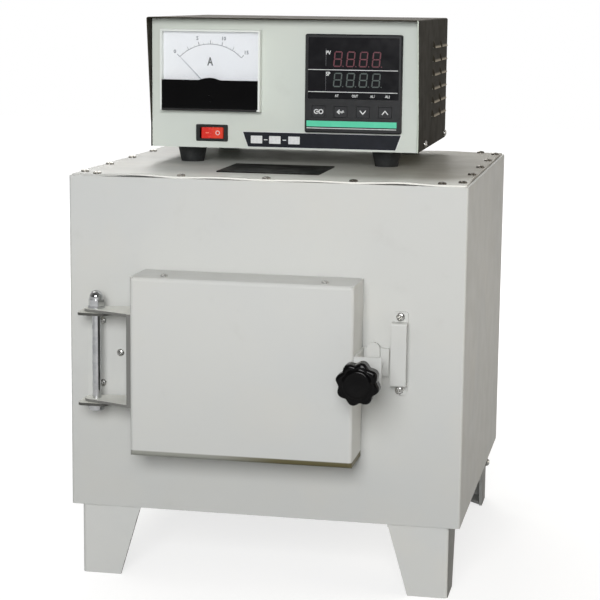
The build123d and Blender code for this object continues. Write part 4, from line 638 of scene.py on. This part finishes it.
foot_rubber = (
    Finish("foot_rubber", (30, 32, 33), 0.62, specular=0.35)
    .drift((46, 47, 47), 90.0, 0.7)
    .drift((70, 69, 65), 380.0, 0.35, 0.55, 0.8)
    .rough(160.0, 0.08).bump(900.0, 0.06, detail=4.0).done()
)

RIM_HEIGHT, RIM_LEFT, RIM_RIGHT = 0.0020, 0.0018, 0.0034
RIM_FADE = 0.0004


def meter_plastic():
    """Ivory plastic, black along the lower rim that the skirt carries on."""
    made = Finish("meter_ivory", (232, 236, 232), 0.34).drift((225, 230, 226), 80.0, 0.6)
    foot = METER_CORNER.z + RIM_HEIGHT
    left = METER_CORNER.x + RIM_LEFT
    right = METER_FAR.x - RIM_RIGHT
    low = made.along("Z", foot, foot + RIM_FADE / 2, 1.0, 0.0)
    between = made.times(
        made.along("X", left, left + RIM_FADE), made.along("X", right, right + RIM_FADE, 1.0, 0.0)
    )
    made.blend(made.times(low, between), (14, 14, 15))
    return made.rough(160.0, 0.05).bump(1300.0, 0.01).done()


meter_ivory = meter_plastic()
dial_card = (
    Finish("dial_card", (244, 247, 252), 0.6, specular=0.3)
    .drift((247, 249, 253), 26.0, 0.7)
    .drift((224, 231, 241), 700.0, 0.3, 0.5, 0.8)
    .rough(300.0, 0.05).bump(1600.0, 0.008).done()
)


def ink(name, colour, uneven, roughness, specular=0.3, scale=500.0):
    """Printing ink, a little uneven in tone and gloss."""
    made = Finish(name, colour, roughness, specular=specular).drift(uneven, scale, 0.6)
    return made.rough(400.0, 0.06).bump(1800.0, 0.004).done()


dial_ink = ink("dial_ink", (22, 30, 36), (34, 42, 48), 0.55, scale=600.0)
scale_ink = ink("scale_ink", (88, 96, 104), (112, 120, 128), 0.55, scale=600.0)
faint_print = ink("faint_print", (238, 128, 104), (232, 104, 82), 0.4)
white_print = ink("white_print", (226, 228, 228), (208, 211, 212), 0.45, specular=0.5)
grey_print = ink("grey_print", (122, 124, 127), (104, 106, 109), 0.4)
needle_enamel = (
    Finish("needle_enamel", (178, 184, 192), 0.5)
    .drift((160, 166, 174), 500.0, 0.6)
    .rough(400.0, 0.06).bump(1500.0, 0.006).done()
)

PRESSED_FROM, PRESSED_TO, PRESSED_HIGHLIGHT = 0.002, 0.004, 0.6


def rocker_plastic():
    """Glossy red, with a painted highlight that makes the half lying pressed in paler."""
    made = Finish("red_rocker", (214, 36, 24), 0.24, specular=0.4)
    made.drift((226, 52, 36), 90.0, 0.5).drift((192, 24, 18), 240.0, 0.35, 0.5, 0.75)
    pressed = made.along("X", ROCKER_MIDDLE - PRESSED_FROM, ROCKER_MIDDLE + PRESSED_TO)
    # Painted highlight on the rocker's pressed half.
    made.blend(made.times(pressed, PRESSED_HIGHLIGHT), (238, 84, 62))
    return made.rough(200.0, 0.05).bump(900.0, 0.01).done()


red_rocker = rocker_plastic()
green_print = (
    Finish("green_print", (86, 208, 168), 0.40, specular=0.3)
    .drift((98, 214, 176), 120.0, 0.6)
    .rough(300.0, 0.05).bump(1600.0, 0.006).done()
)
strip_enamel = (
    Finish("strip_enamel", (17, 21, 30), 0.5, specular=0.2)
    .drift((23, 27, 37), 80.0, 0.6)
    .worn(0.3, (90, 94, 100), 400.0, 0.4)
    .rough(200.0, 0.06).bump(1200.0, 0.01).done()
)


def lamp_bar(name, colour, glow, strength):
    """A display segment: tinted plastic with a little light of its own."""
    made = Finish(name, colour, 0.35).drift(glow, 300.0, 0.6)
    made.set("Emission Color", linear(glow))
    made.set("Emission Strength", strength)
    return made.rough(300.0, 0.05).bump(1500.0, 0.004).done()


red_segments = lamp_bar("red_segments", (86, 10, 32), (104, 14, 38), 0.03)
green_segments = lamp_bar("green_segments", (60, 72, 69), (70, 84, 80), 0.02)

CLEAR_ALPHA = 0.10


def clear_moulding():
    """Thin clear plastic: nearly all light goes through, and scuffs change its gloss."""
    made = Finish("clear_cover", (250, 252, 253), 0.03, specular=1.0)
    made.set("Alpha", CLEAR_ALPHA)
    return made.drift((246, 249, 250), 40.0, 0.6).rough(160.0, 0.015).bump(120.0, 0.004).done()


clear_cover = clear_moulding()
smoked_lens = (
    Finish("smoked_lens", (22, 22, 25), 0.16, specular=0.25)
    .drift((27, 27, 30), 60.0, 0.6)
    .rough(140.0, 0.03).bump(200.0, 0.01).done()
)

FINISHES = {
    casing_enamel: (
        "casing_shell rear_panel bottom_tray door_back_plate latch_bracket latch_keeper "
        "latch_cam terminal_cover"
    ),
    leg_enamel: "front_right_leg front_left_leg rear_right_leg rear_left_leg",
    door_enamel: "door_shell",
    lid_enamel: "top_cover",
    door_hinge_enamel: "hinge_door_bracket",
    fixed_hinge_enamel: "hinge_fixed_bracket",
    panel_enamel: "controller_panel controller_tray",
    cover_paint: "controller_cover",
    black_enamel: "blank_plate",
    zinc_plate: (
        "top_cover_screws leg_bolts earth_bolt hinge_screws keeper_screws door_screws "
        "controller_screws"
    ),
    spindle_steel: "latch_spindle",
    chrome_plate: "hinge_pin hinge_dome_nut hinge_washer",
    fired_ceramic: "throat_block muffle door_plug terminal_board thermocouple_sheath",
    fibre_wool: "wool_packing rear_insulation door_lining",
    scaled_wire: "heating_elements",
    cast_alloy: "thermocouple_head heat_sink",
    turned_brass: "terminal_nuts",
    black_bakelite: "latch_knob",
    black_gloss: "ammeter_skirt ammeter_zero_screw",
    gland_nylon: "cable_glands",
    black_moulding: "switch_frame",
    instrument_moulding: "instrument_case",
    key_rubber: "instrument_key_1 instrument_key_2 instrument_key_3 instrument_key_4",
    foot_rubber: "controller_feet",
    meter_ivory: "ammeter_case",
    dial_card: "ammeter_dial",
    needle_enamel: "ammeter_needle",
    clear_cover: "ammeter_window",
    smoked_lens: "instrument_lens",
    red_rocker: "switch_rocker",
}
for finish, names in FINISHES.items():
    for node in names.split():
        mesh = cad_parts[node].data
        mesh.materials.clear()
        mesh.materials.append(finish)

# ---- Screw heads ----
GOLDEN_TURN = 2.399963


def screw_set(name, node, seats, radius, height, body, start, crown=0.45, finish=zinc_plate):
    """Cross heads in place of a node's plain ones, each a golden angle on from the last."""
    spins = start + GOLDEN_TURN * np.arange(len(seats))
    heads = [cross_head(seat, radius, height, spin, crown) for seat, spin in zip(seats, spins)]
    piece(name, heads, finish, body, 50.0, [node])


COVER_HEAD_MM = 4.0
COVER_END_INSET = 0.025
COVER_SIDE_INSET = 0.008
COVER_ROW_INSET = 0.009
cover_screws_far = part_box("top_cover_screws")[1]
middle_y = (COVER_CORNER.y + COVER_FAR.y) / 2
row_y = cover_screws_far.y - COVER_HEAD_MM * MM - middle_y
column_x = cover_screws_far.x - COVER_HEAD_MM * MM
row_reach = column_x + COVER_SIDE_INSET - COVER_END_INSET
column_reach = row_y + COVER_ROW_INSET - COVER_END_INSET
cover_places = [
    (x, middle_y + side * row_y) for side in (-1, 1) for x in np.linspace(-row_reach, row_reach, 5)
]
cover_places += [
    (side * column_x, middle_y + y)
    for side in (-1, 1)
    for y in np.linspace(-column_reach, column_reach, 5)
]
cover_seats = [facing_up(x, y, COVER_FAR.z) for x, y in cover_places]
screw_set(
    "cover_screw_heads", "top_cover_screws", cover_seats, COVER_HEAD_MM, 2.2, "furnace", 0.3,
    finish=lid_zinc,
)

DOOR_HEAD_MM, DOOR_HEAD_HEIGHT_MM = 3.4, 2.0
door_low, door_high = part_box("door_screws")
door_seats = [
    facing_up(x, (door_low.y + door_high.y) / 2, door_high.z - DOOR_HEAD_HEIGHT_MM * MM)
    for x in (door_low.x + DOOR_HEAD_MM * MM, door_high.x - DOOR_HEAD_MM * MM)
]
screw_set(
    "door_screw_heads", "door_screws", door_seats, DOOR_HEAD_MM, DOOR_HEAD_HEIGHT_MM, "door", 1.1
)

HINGE_HEAD_MM = 3.4
HINGE_LEAF = 0.0025
HINGE_SCREW_RISE = 0.030
HINGE_SCREW_SHIFT = 0.0175
hinge_low, hinge_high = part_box("hinge_screws")
hinge_x = hinge_low.x + HINGE_HEAD_MM * MM
hinge_z = (hinge_low.z + hinge_high.z) / 2
hinge_places = [
    (hinge_x, hinge_z - HINGE_SCREW_RISE),
    (hinge_x + HINGE_SCREW_SHIFT, hinge_z),
    (hinge_x, hinge_z + HINGE_SCREW_RISE),
]
hinge_seats = [facing_front(x, CASING_FRONT - HINGE_LEAF, z) for x, z in hinge_places]
screw_set(
    "hinge_screw_heads", "hinge_screws", hinge_seats, HINGE_HEAD_MM, 2.0, "furnace", 0.8, 0.6
)

KEEPER_HEAD_MM = 3.9
KEEPER_SHEET = 0.002
keeper_low, keeper_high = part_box("keeper_screws")
keeper_seats = [
    facing_front((keeper_low.x + keeper_high.x) / 2, CASING_FRONT - KEEPER_SHEET, z)
    for z in (keeper_low.z + KEEPER_HEAD_MM * MM, keeper_high.z - KEEPER_HEAD_MM * MM)
]
screw_set("keeper_screw_heads", "keeper_screws", keeper_seats, KEEPER_HEAD_MM, 2.2, "furnace", 0.5)

SIDE_HEAD_MM = 3.5
SIDE_SEAT_DEPTH = 0.0016
SIDE_SCREW_RADIUS = 0.0032
side_low, side_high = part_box("controller_screws")
side_seats = [
    facing_side(x, y, (side_low.z + side_high.z) / 2, side)
    for side, x in ((-1, side_low.x + SIDE_SEAT_DEPTH), (1, side_high.x - SIDE_SEAT_DEPTH))
    for y in (side_low.y + SIDE_SCREW_RADIUS, side_high.y - SIDE_SCREW_RADIUS)
]
screw_set("side_screw_heads", "controller_screws", side_seats, SIDE_HEAD_MM, 2.6, "furnace", 0.9)

# ---- Top cover: its edges lift a little between the screws ----
EDGE_LIFT_MM = 1.3
EDGE_REACH_MM = 26.0
CLOSE_LINES_MM = 30
FRONT_SHARE, REAR_SHARE, LEFT_SHARE, RIGHT_SHARE = 1.0, 0.6, 0.55, 0.7


def edge_lines(span, count):
    """Grid lines over a span: even ones, with closer ones near both ends."""
    near = np.linspace(0, CLOSE_LINES_MM, 13)
    return np.unique(np.concatenate([np.linspace(0, span, count), near, span - near]))


def bay_wave(places, first, span):
    """0 at the five screws of a row and 1 halfway between neighbours: the sine, squared, of
    the place counted in screw spacings."""
    bays = np.clip((places - first) / (span / 4), 0, 4)
    return np.sin(np.pi * bays) ** 2


def cover_sheet():
    """Thin sheet over the casing's top.  Its lift is a sum over the four edges: the wave
    along the edge times a fall from 1 at the edge to 0 at EDGE_REACH_MM inwards.  A slow
    product of a sine and a cosine makes the bays unequal."""
    width, length, thickness = (np.array(COVER_FAR) - np.array(COVER_CORNER)) / MM
    x, y = np.meshgrid(edge_lines(width, 97), edge_lines(length, 93), indexing="ij")
    x_wave = bay_wave(x, width / 2 - row_reach / MM, 2 * row_reach / MM)
    y_wave = bay_wave(y, length / 2 - column_reach / MM, 2 * column_reach / MM)
    unequal = 0.75 + 0.35 * np.sin(x / 48.0 + 0.6) * np.cos(y / 62.0)
    lift = np.zeros_like(x)
    for inwards, wave, share in (
        (y, x_wave, FRONT_SHARE),
        (length - y, x_wave, REAR_SHARE),
        (x, y_wave, LEFT_SHARE),
        (width - x, y_wave, RIGHT_SHARE),
    ):
        lift += share * wave * (1 - smooth_step(0, EDGE_REACH_MM, inwards))
    lift = EDGE_LIFT_MM * lift * unequal
    corner = facing_up(*COVER_CORNER)
    top, under = corner.at(x, y, thickness + lift), corner.at(x, y, lift)
    edges = [
        np.concatenate([sheet[0, :-1], sheet[:-1, -1], sheet[-1, :0:-1], sheet[:0:-1, 0]])
        for sheet in (top, under)
    ]
    return [(top, False), (under, False), (np.stack(edges), True)]


piece("top_cover_sheet", cover_sheet(), lid_enamel, "furnace", 40.0, ["top_cover"])

# ---- Knob ----
LOBES = 8
LOBE_DEPTH = 0.135
KNOB_TURN = np.radians(-14)
HUB_MM, KNOB_BODY_MM = 10.0, 16.0


def star_knob():
    """Face, rim, back and hub of the knob in one closed surface.  A profile of radius and
    height runs from the middle of the face to the middle of the hub's end.  Its radius is
    multiplied by 1 - depth * (1 - |cos(4 * angle)|^1.5) beyond the raised disc, which
    makes eight lobes with round hollows between them."""
    middle_x, middle_z = (KNOB_CORNER.x + KNOB_FAR.x) / 2, (KNOB_CORNER.z + KNOB_FAR.z) / 2
    seat = facing_front(middle_x, KNOB_FAR.y, middle_z)
    radius = (KNOB_FAR.x - KNOB_CORNER.x) / 2 / MM
    front = HUB_MM + KNOB_BODY_MM
    s = np.linspace(0, np.pi / 2, 9)
    rise_r = [11.0, 11.5, 12.0, 12.6, 13.2, 13.8, 14.6, 15.6, 16.6]
    face_r = np.concatenate([np.linspace(0, 10.4, 8), rise_r])
    face_h = front - 1.5 * smooth_step(11.0, 14.2, face_r) - 0.4 * (1 - smooth_step(0, 10, face_r))
    edge_r = radius - 3.0 + 3.0 * np.sin(s)
    edge_h = front - 1.6 - 3.2 * (1 - np.cos(s))
    back_r = radius - 1.6 + 1.6 * np.cos(s)
    back_h = HUB_MM + 1.6 - 1.6 * np.sin(s)
    hub_r = np.array([10.6, 10.0, 9.4, 8.4, 8.0, 7.4, 5.03, 5.03, 0.0])
    hub_h = np.array([HUB_MM, HUB_MM - 0.4, HUB_MM - 3.0, 2.0, 0.6, 0.0, 0.0, 1.0, 1.0])
    r = np.concatenate([face_r, edge_r, [radius, radius], back_r, hub_r])
    h = np.concatenate([face_h, edge_h, [front - 6.0, HUB_MM + 4.0], back_h, hub_h])
    angle = np.linspace(0, 2 * np.pi, 192, endpoint=False)
    hollow = 1 - np.abs(np.cos(LOBES / 2 * (angle - KNOB_TURN))) ** 1.5
    depth = LOBE_DEPTH * smooth_step(12.5, 16.0, r)
    scaled = r[:, None] * (1 - depth[:, None] * hollow)
    return seat.at(scaled * np.cos(angle), scaled * np.sin(angle), h[:, None]), True


piece("star_knob", [star_knob()], black_bakelite, "latch", 40.0, ["latch_knob"])

# ---- Ammeter dial, from the case's lower left corner ----
dial = facing_front(METER_CORNER.x, DIAL_FRONT, METER_CORNER.z)
SWEEP_DEGREES = 90.0
ARC_CENTRE_MM, ARC_RADIUS_MM, ARC_WIDTH_MM = (50.3, 21.3), 44.3, 0.55
LONG_TICK_MM, LONG_TICK_WIDTH_MM = 3.6, 0.65
SHORT_TICK_MM, SHORT_TICK_WIDTH_MM = 1.6, 0.35
MIDDLE_TICK_WIDTH_MM = 0.5
NUMBER_RISE_MM = 7.2


def dial_point(share, radius):
    """A place on the dial: share 0 is the scale's left end and 1 its right end."""
    lean = np.radians(SWEEP_DEGREES * (np.asarray(share) - 0.5))
    return ARC_CENTRE_MM[0] + radius * np.sin(lean), ARC_CENTRE_MM[1] + radius * np.cos(lean)


def tick(share, length, width):
    """A mark from the arc outwards."""
    foot, end = (dial_point(share, ARC_RADIUS_MM + rise) for rise in (0.0, length))
    return slab(dial, bar(foot, end, width), PRINT_MM)


arc_path = np.stack(dial_point(np.linspace(0, 1, 61), ARC_RADIUS_MM), axis=1)
marks = [ribbon(dial, arc_path, ARC_WIDTH_MM, PRINT_MM)]
for number in range(16):
    if number % 5 == 0:
        marks.append(tick(number / 15, LONG_TICK_MM, LONG_TICK_WIDTH_MM))
    else:
        marks.append(tick(number / 15, SHORT_TICK_MM, SHORT_TICK_WIDTH_MM))
marks += [tick(share, LONG_TICK_MM, MIDDLE_TICK_WIDTH_MM) for share in (1 / 6, 1 / 2, 5 / 6)]
piece("dial_scale", marks, scale_ink, "furnace")
for index, text in enumerate(("0", "5", "10", "15")):
    seat = dial.moved(*dial_point(index / 3, ARC_RADIUS_MM + NUMBER_RISE_MM))
    lettering(f"dial_number_{text}", text, 4.9, seat, scale_ink, 0.14)
lettering("dial_unit", "A", 11.4, dial.moved(50.0, 48.2), dial_ink, 0.30, 0.72)

# ---- Strip below the instrument, from the panel's lower left corner ----
panel = facing_front(*PANEL_CORNER)
STRIP_OUTLINE_MM = [(93.4, 16.5), (98.6, 2.0), (246.6, 2.0), (251.8, 16.5)]
RIM_OUTLINE_MM = [(92.6, 17.0), (98.2, 1.5), (247.0, 1.5), (252.6, 17.0)]
STRIP_MM, RIM_MM = 0.55, 0.25
FIELD_MIDDLE_MM = 9.2
rim = slab(panel, RIM_OUTLINE_MM, RIM_MM, 0.1)
strip = slab(panel, STRIP_OUTLINE_MM, STRIP_MM, 0.15)
piece("strip_rim", [rim], white_print, "furnace")
piece("bare_strip", [strip], strip_enamel, "furnace")
fields = [rectangle(11.6, 7.6, 0.5, x, FIELD_MIDDLE_MM) for x in (107.3, 125.9, 145.3)]
fields += [rectangle(3.5, 0.9, 0.2, x, FIELD_MIDDLE_MM) for x in (116.6, 135.6)]
fields = [slab(panel, outline, RAISED_PRINT_MM, 0.0, STRIP_MM) for outline in fields]
piece("strip_fields", fields, white_print, "furnace")

# ---- Instrument face, from the case's lower left corner ----
face = facing_front(*CASE_CORNER)
lens = facing_front(CASE_CORNER.x, LENS_FRONT, CASE_CORNER.z)
# Ends of a digit's bars: top, middle and bottom, then the upper and the lower uprights.
SEGMENT_ENDS = [
    ((0, 2), (1, 2)),
    ((0, 1), (1, 1)),
    ((0, 0), (1, 0)),
    ((0, 1), (0, 2)),
    ((1, 1), (1, 2)),
    ((0, 0), (0, 1)),
    ((1, 0), (1, 1)),
]
DIGIT_SLANT = 0.10
DIGIT_LEFT_MM, DIGIT_PITCH_MM, DIGIT_WIDTH_MM, STROKE_MM = 28.4, 12.66, 7.0, 1.15
SEGMENT_GAP_MM = 0.2
POINT_MM, POINT_SHIFT_MM = 1.1, 9.3


def digit(left, low, height):
    """Seven bars of a display digit: each is a six-sided outline between two of six
    corner points, with pointed ends, leaning to the right by DIGIT_SLANT."""
    bars = []
    for (ax, ay), (bx, by) in SEGMENT_ENDS:
        a = np.array([left + ax * DIGIT_WIDTH_MM, low + ay * height / 2])
        b = np.array([left + bx * DIGIT_WIDTH_MM, low + by * height / 2])
        along = (b - a) / np.linalg.norm(b - a)
        across = np.array([-along[1], along[0]]) * STROKE_MM / 2
        a, b, nose = a + along * SEGMENT_GAP_MM, b - along * SEGMENT_GAP_MM, along * STROKE_MM / 2
        upper = [a, a + nose + across, b - nose + across]
        outline = np.stack(upper + [b, b - nose - across, a + nose - across])
        outline[:, 0] += DIGIT_SLANT * (outline[:, 1] - low)
        bars.append(slab(lens, outline, RAISED_PRINT_MM))
    return bars


def digits(name, low, height, finish):
    """Four digits in a row, each with its decimal point."""
    shapes = []
    for number in range(4):
        left = DIGIT_LEFT_MM + DIGIT_PITCH_MM * number
        shapes += digit(left, low, height)
        point = rectangle(POINT_MM, POINT_MM, 0.4, left + POINT_SHIFT_MM, low)
        shapes.append(slab(lens, point, RAISED_PRINT_MM))
    piece(name, shapes, finish, "furnace")


def rules(name, seat, lines, width, finish):
    """Thin straight lines printed on a seat, each from one point to another."""
    shapes = [slab(seat, bar(start, end, width), PRINT_MM) for start, end in lines]
    piece(name, shapes, finish, "furnace")


def lens_letters(name, text, size, u, v, bold):
    lettering(name, text, size, lens.moved(u, v), white_print, bold, 0.85)


digits("process_value", 65.0, 14.0, red_segments)
digits("set_value", 45.4, 12.8, green_segments)
rules("lens_rules", lens, [((3.2, v), (91.9, v)) for v in (61.5, 40.0)], 0.6, white_print)
lens_letters("process_letters", "PV", 5.2, 22.9, 77.9, 0.12)
lens_letters("set_letters", "SP", 5.2, 22.9, 57.4, 0.12)
column_lines = [((20.7, 65.0), (20.7, 82.0)), ((20.7, 41.5), (20.7, 60.0))]
rules("column_rules", lens, column_lines, 0.22, grey_print)
for text, u in (("AT", 31.9), ("OUT", 49.8), ("AL1", 67.4), ("AL2", 82.1)):
    lens_letters(f"lamp_label_{text}", text, 3.4, u, 36.2, 0.07)
stripe = slab(face, rectangle(89.5, 5.7, 0.3, 46.8, 8.8), 0.2, 0.05)
piece("green_stripe", [stripe], green_print, "furnace")
rules("lower_rule", face, [((2.2, 4.4), (91.2, 4.4))], 0.7, white_print)


def circle_path(x, y, radius, start=0, stop=360, steps=28):
    """Points round part of a circle, from start to stop in degrees."""
    angle = np.radians(np.linspace(start, stop, steps))
    return np.stack([x + radius * np.cos(angle), y + radius * np.sin(angle)], axis=1)


def polyline(*corners, steps=8):
    """Points evenly along straight runs between corners."""
    corners = np.array(corners, float)
    share = np.linspace(0, 1, steps, endpoint=False)[:, None]
    parts = [start + (end - start) * share for start, end in zip(corners[:-1], corners[1:])]
    return np.concatenate(parts + [corners[-1:]])


SYMBOL_STROKE_MM = 0.95
SYMBOLS = {
    1: [
        circle_path(-2.2, 0, 1.9, 40, 320),
        polyline((-2.2, 0), (0.2, 0)),
        circle_path(2.4, 0, 1.9, -140, 140),
        polyline((0.6, -1.9), (0.6, 1.9)),
    ],
    2: [
        polyline((-0.9, 2.1), (-3.4, 0), (-0.9, -2.1)),
        polyline((-3.2, 0), (3.4, 0)),
        polyline((1.2, -1.3), (2.6, 1.6)),
    ],
    3: [polyline((-3.0, 1.8), (0, -1.8), (3.0, 1.8))],
    4: [polyline((-3.0, -1.8), (0, 1.8), (3.0, -1.8))],
}
for number, strokes in SYMBOLS.items():
    key_low, key_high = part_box(f"instrument_key_{number}")
    key = facing_front((key_low.x + key_high.x) / 2, key_low.y, (key_low.z + key_high.z) / 2)
    shapes = [ribbon(key, stroke, SYMBOL_STROKE_MM, RAISED_PRINT_MM) for stroke in strokes]
    piece(f"key_{number}_symbol", shapes, white_print, f"key_{number}")

# ---- Rocker marks: a dash on the raised half and a ring on the pressed one ----
ROCKER_PIVOT_DEPTH = 0.0035
ROCKER_TILT = 8.0
ROCKER_END_MM, ROCKER_END_OUT_MM, ROCKER_DIP_OUT_MM = 10.39, 6.0, 4.4
rocker_low, rocker_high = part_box("switch_rocker")


def on_rocker(side):
    """The middle of one half of the rocker's bent face.  In the rocker's own plan the half
    runs from its dip at (0, -dip) to its end at (side * reach, -out), and all of it is
    then turned by the tilt about the pivot."""
    tilt = np.radians(ROCKER_TILT)
    turn = np.array([[np.cos(tilt), -np.sin(tilt)], [np.sin(tilt), np.cos(tilt)]])
    dip = turn @ np.array([0.0, -ROCKER_DIP_OUT_MM])
    end = turn @ np.array([side * ROCKER_END_MM, -ROCKER_END_OUT_MM])
    middle = (dip + end) / 2 * MM
    along = side * (end - dip) / np.linalg.norm(end - dip)
    pivot_y = PANEL_CORNER.y + ROCKER_PIVOT_DEPTH
    middle_z = (rocker_low.z + rocker_high.z) / 2
    origin = (ROCKER_MIDDLE + middle[0], pivot_y + middle[1], middle_z)
    return Seat(origin, (along[0], along[1], 0), (0, 0, 1))


dash = slab(on_rocker(-1), rectangle(3.4, 1.0, 0.2), PRINT_MM)
ring = ribbon(on_rocker(1), circle_path(0, 0, 1.9, steps=33), 0.6, PRINT_MM)
piece("rocker_dash", [dash], faint_print, "rocker")
piece("rocker_ring", [ring], white_print, "rocker")

# ---- Floor, light and camera ----
FLOOR_REACH, FLOOR_LINES = 6.0, 25
LIFT_REACH, LIFT = (0.25, 1.2), (0.74, 1.0)
FLOOR_DEPTHS, FLOOR_MIRRORED = (-1.0, 2.5), (0.25, 0.5)
ROOM_DEPTHS, ROOM_MIRRORED = (-0.75, 0.9), (0.08, 0.6)
AMBIENT = 0.20
FOCAL_LENGTH_MM = 108.287
CAMERA_PLACE = Vector((0.357685, -1.767629, 0.555851))
CAMERA_RIGHT = Vector((0.98012485, 0.19808384, 0.01086642))
CAMERA_UP = Vector((-0.04353603, 0.16133121, 0.98593958))
CAMERA_BACK = Vector((0.19354561, -0.96681696, 0.16674851))


def seen_directly(tree, rays):
    """1 for what the camera sees, on its own or through glass, before any matt surface."""
    first = math_in(tree, "LESS_THAN", rays.outputs["Diffuse Depth"], 0.5)
    glass = math_in(tree, "MULTIPLY", rays.outputs["Is Transmission Ray"], first)
    return math_in(tree, "MAXIMUM", rays.outputs["Is Camera Ray"], glass)


def studio_floor():
    """Pale floor.  Seen directly or through glass it is lifted towards white, more so away
    from the furnace, so that only the soft shadow under it stays.  Reflections show the
    same lift at a lower strength in front, where the room is dim."""
    line = np.linspace(-FLOOR_REACH, FLOOR_REACH, FLOOR_LINES)
    x, y = np.meshgrid(line, line, indexing="ij")
    points = np.stack([x, y, np.zeros_like(x)], axis=-1)
    mesh = bpy.data.meshes.new("studio_floor")
    faces = grid_faces(FLOOR_LINES, FLOOR_LINES, 0, False)[:, ::-1]
    mesh.from_pydata(points.reshape(-1, 3).tolist(), [], faces.tolist())
    made = bpy.data.objects.new("studio_floor", mesh)
    bpy.context.scene.collection.objects.link(made)
    paint = bpy.data.materials.new("studio_floor")
    paint.use_nodes = True
    tree = paint.node_tree
    tree.nodes.clear()
    rays = tree.nodes.new("ShaderNodeLightPath")
    coords = tree.nodes.new("ShaderNodeTexCoord").outputs["Object"]
    distance = node_in(tree, "ShaderNodeVectorMath", i0=coords)
    distance.operation = "LENGTH"
    lifted = ramp_in(tree, distance.outputs["Value"], *LIFT_REACH, *LIFT)
    depth = node_in(tree, "ShaderNodeSeparateXYZ", Vector=coords).outputs["Y"]
    mirrored = ramp_in(tree, depth, *FLOOR_DEPTHS, *FLOOR_MIRRORED)
    seen = seen_directly(tree, rays)
    reflected = math_in(tree, "MULTIPLY", rays.outputs["Is Glossy Ray"], mirrored)
    share = math_in(tree, "MAXIMUM", seen, reflected)
    glow = node_in(tree, "ShaderNodeEmission", Strength=math_in(tree, "MULTIPLY", lifted, share))
    matt = node_in(tree, "ShaderNodeBsdfDiffuse", Color=(0.40, 0.40, 0.395, 1))
    both = node_in(tree, "ShaderNodeAddShader", i0=matt.outputs[0], i1=glow.outputs[0])
    node_in(tree, "ShaderNodeOutputMaterial", Surface=both.outputs[0])
    mesh.materials.append(paint)


def studio_world():
    """Even ambient light.  Seen directly or through glass it is white; in reflections it is
    pale behind the furnace and dim where the room is in front of it."""
    world = bpy.data.worlds.new("studio")
    bpy.context.scene.world = world
    world.use_nodes = True
    tree = world.node_tree
    tree.nodes.clear()
    rays = tree.nodes.new("ShaderNodeLightPath")
    coords = tree.nodes.new("ShaderNodeTexCoord").outputs["Generated"]
    depth = node_in(tree, "ShaderNodeSeparateXYZ", Vector=coords).outputs["Y"]
    strength = ramp_in(tree, depth, *ROOM_DEPTHS, *ROOM_MIRRORED)
    room = node_in(tree, "ShaderNodeBackground", Color=(1, 0.98, 0.94, 1), Strength=strength)
    even = node_in(tree, "ShaderNodeBackground", Color=(1, 1, 1, 1), Strength=AMBIENT)
    white = node_in(tree, "ShaderNodeBackground", Color=(1, 1, 1, 1), Strength=1.0)
    glossy = rays.outputs["Is Glossy Ray"]
    mixed = node_in(tree, "ShaderNodeMixShader", i0=glossy, i1=even.outputs[0], i2=room.outputs[0])
    seen = seen_directly(tree, rays)
    mixed, white = mixed.outputs[0], white.outputs[0]
    chosen = node_in(tree, "ShaderNodeMixShader", i0=seen, i1=mixed, i2=white)
    node_in(tree, "ShaderNodeOutputWorld", Surface=chosen.outputs[0])


def softbox(name, place, aim, size, level, colour=(1, 1, 1)):
    """A square lamp.  At level 1, a white card at the aim that faces it renders white."""
    lamp = bpy.data.lights.new(name, "AREA")
    lamp.shape = "SQUARE"
    lamp.size = size
    lamp.color = colour
    place, aim = Vector(place), Vector(aim)
    lamp.energy = level * np.pi**2 * (aim - place).length_squared
    made = bpy.data.objects.new(name, lamp)
    bpy.context.scene.collection.objects.link(made)
    made.location = place
    made.rotation_euler = (aim - place).to_track_quat("-Z", "Y").to_euler()


studio_floor()
studio_world()
softbox("key_light", (0.22, -2.6, 1.12), (0, 0, 0.25), 1.0, 0.67)
softbox("side_light", (2.5, -0.3, 0.8), (0, 0, 0.25), 1.5, 0.235, (1.0, 0.91, 0.79))
softbox("top_light", (-1.0, 0.35, 2.2), (0, 0, 0.40), 1.2, 0.16, (1.0, 0.99, 0.96))
softbox("rear_light", (-0.7, 2.3, 1.9), (0, 0, 0.30), 1.2, 0.34, (1.0, 0.99, 0.97))

camera_data = bpy.data.cameras.new("camera")
camera_data.sensor_width = 36.0
camera_data.lens = FOCAL_LENGTH_MM
camera = bpy.data.objects.new("camera", camera_data)
bpy.context.scene.collection.objects.link(camera)
turn = Matrix((CAMERA_RIGHT, CAMERA_UP, CAMERA_BACK)).transposed().to_4x4()
camera.matrix_world = Matrix.Translation(CAMERA_PLACE) @ turn
bpy.context.scene.camera = camera
bpy.context.scene.view_settings.view_transform = "Standard"
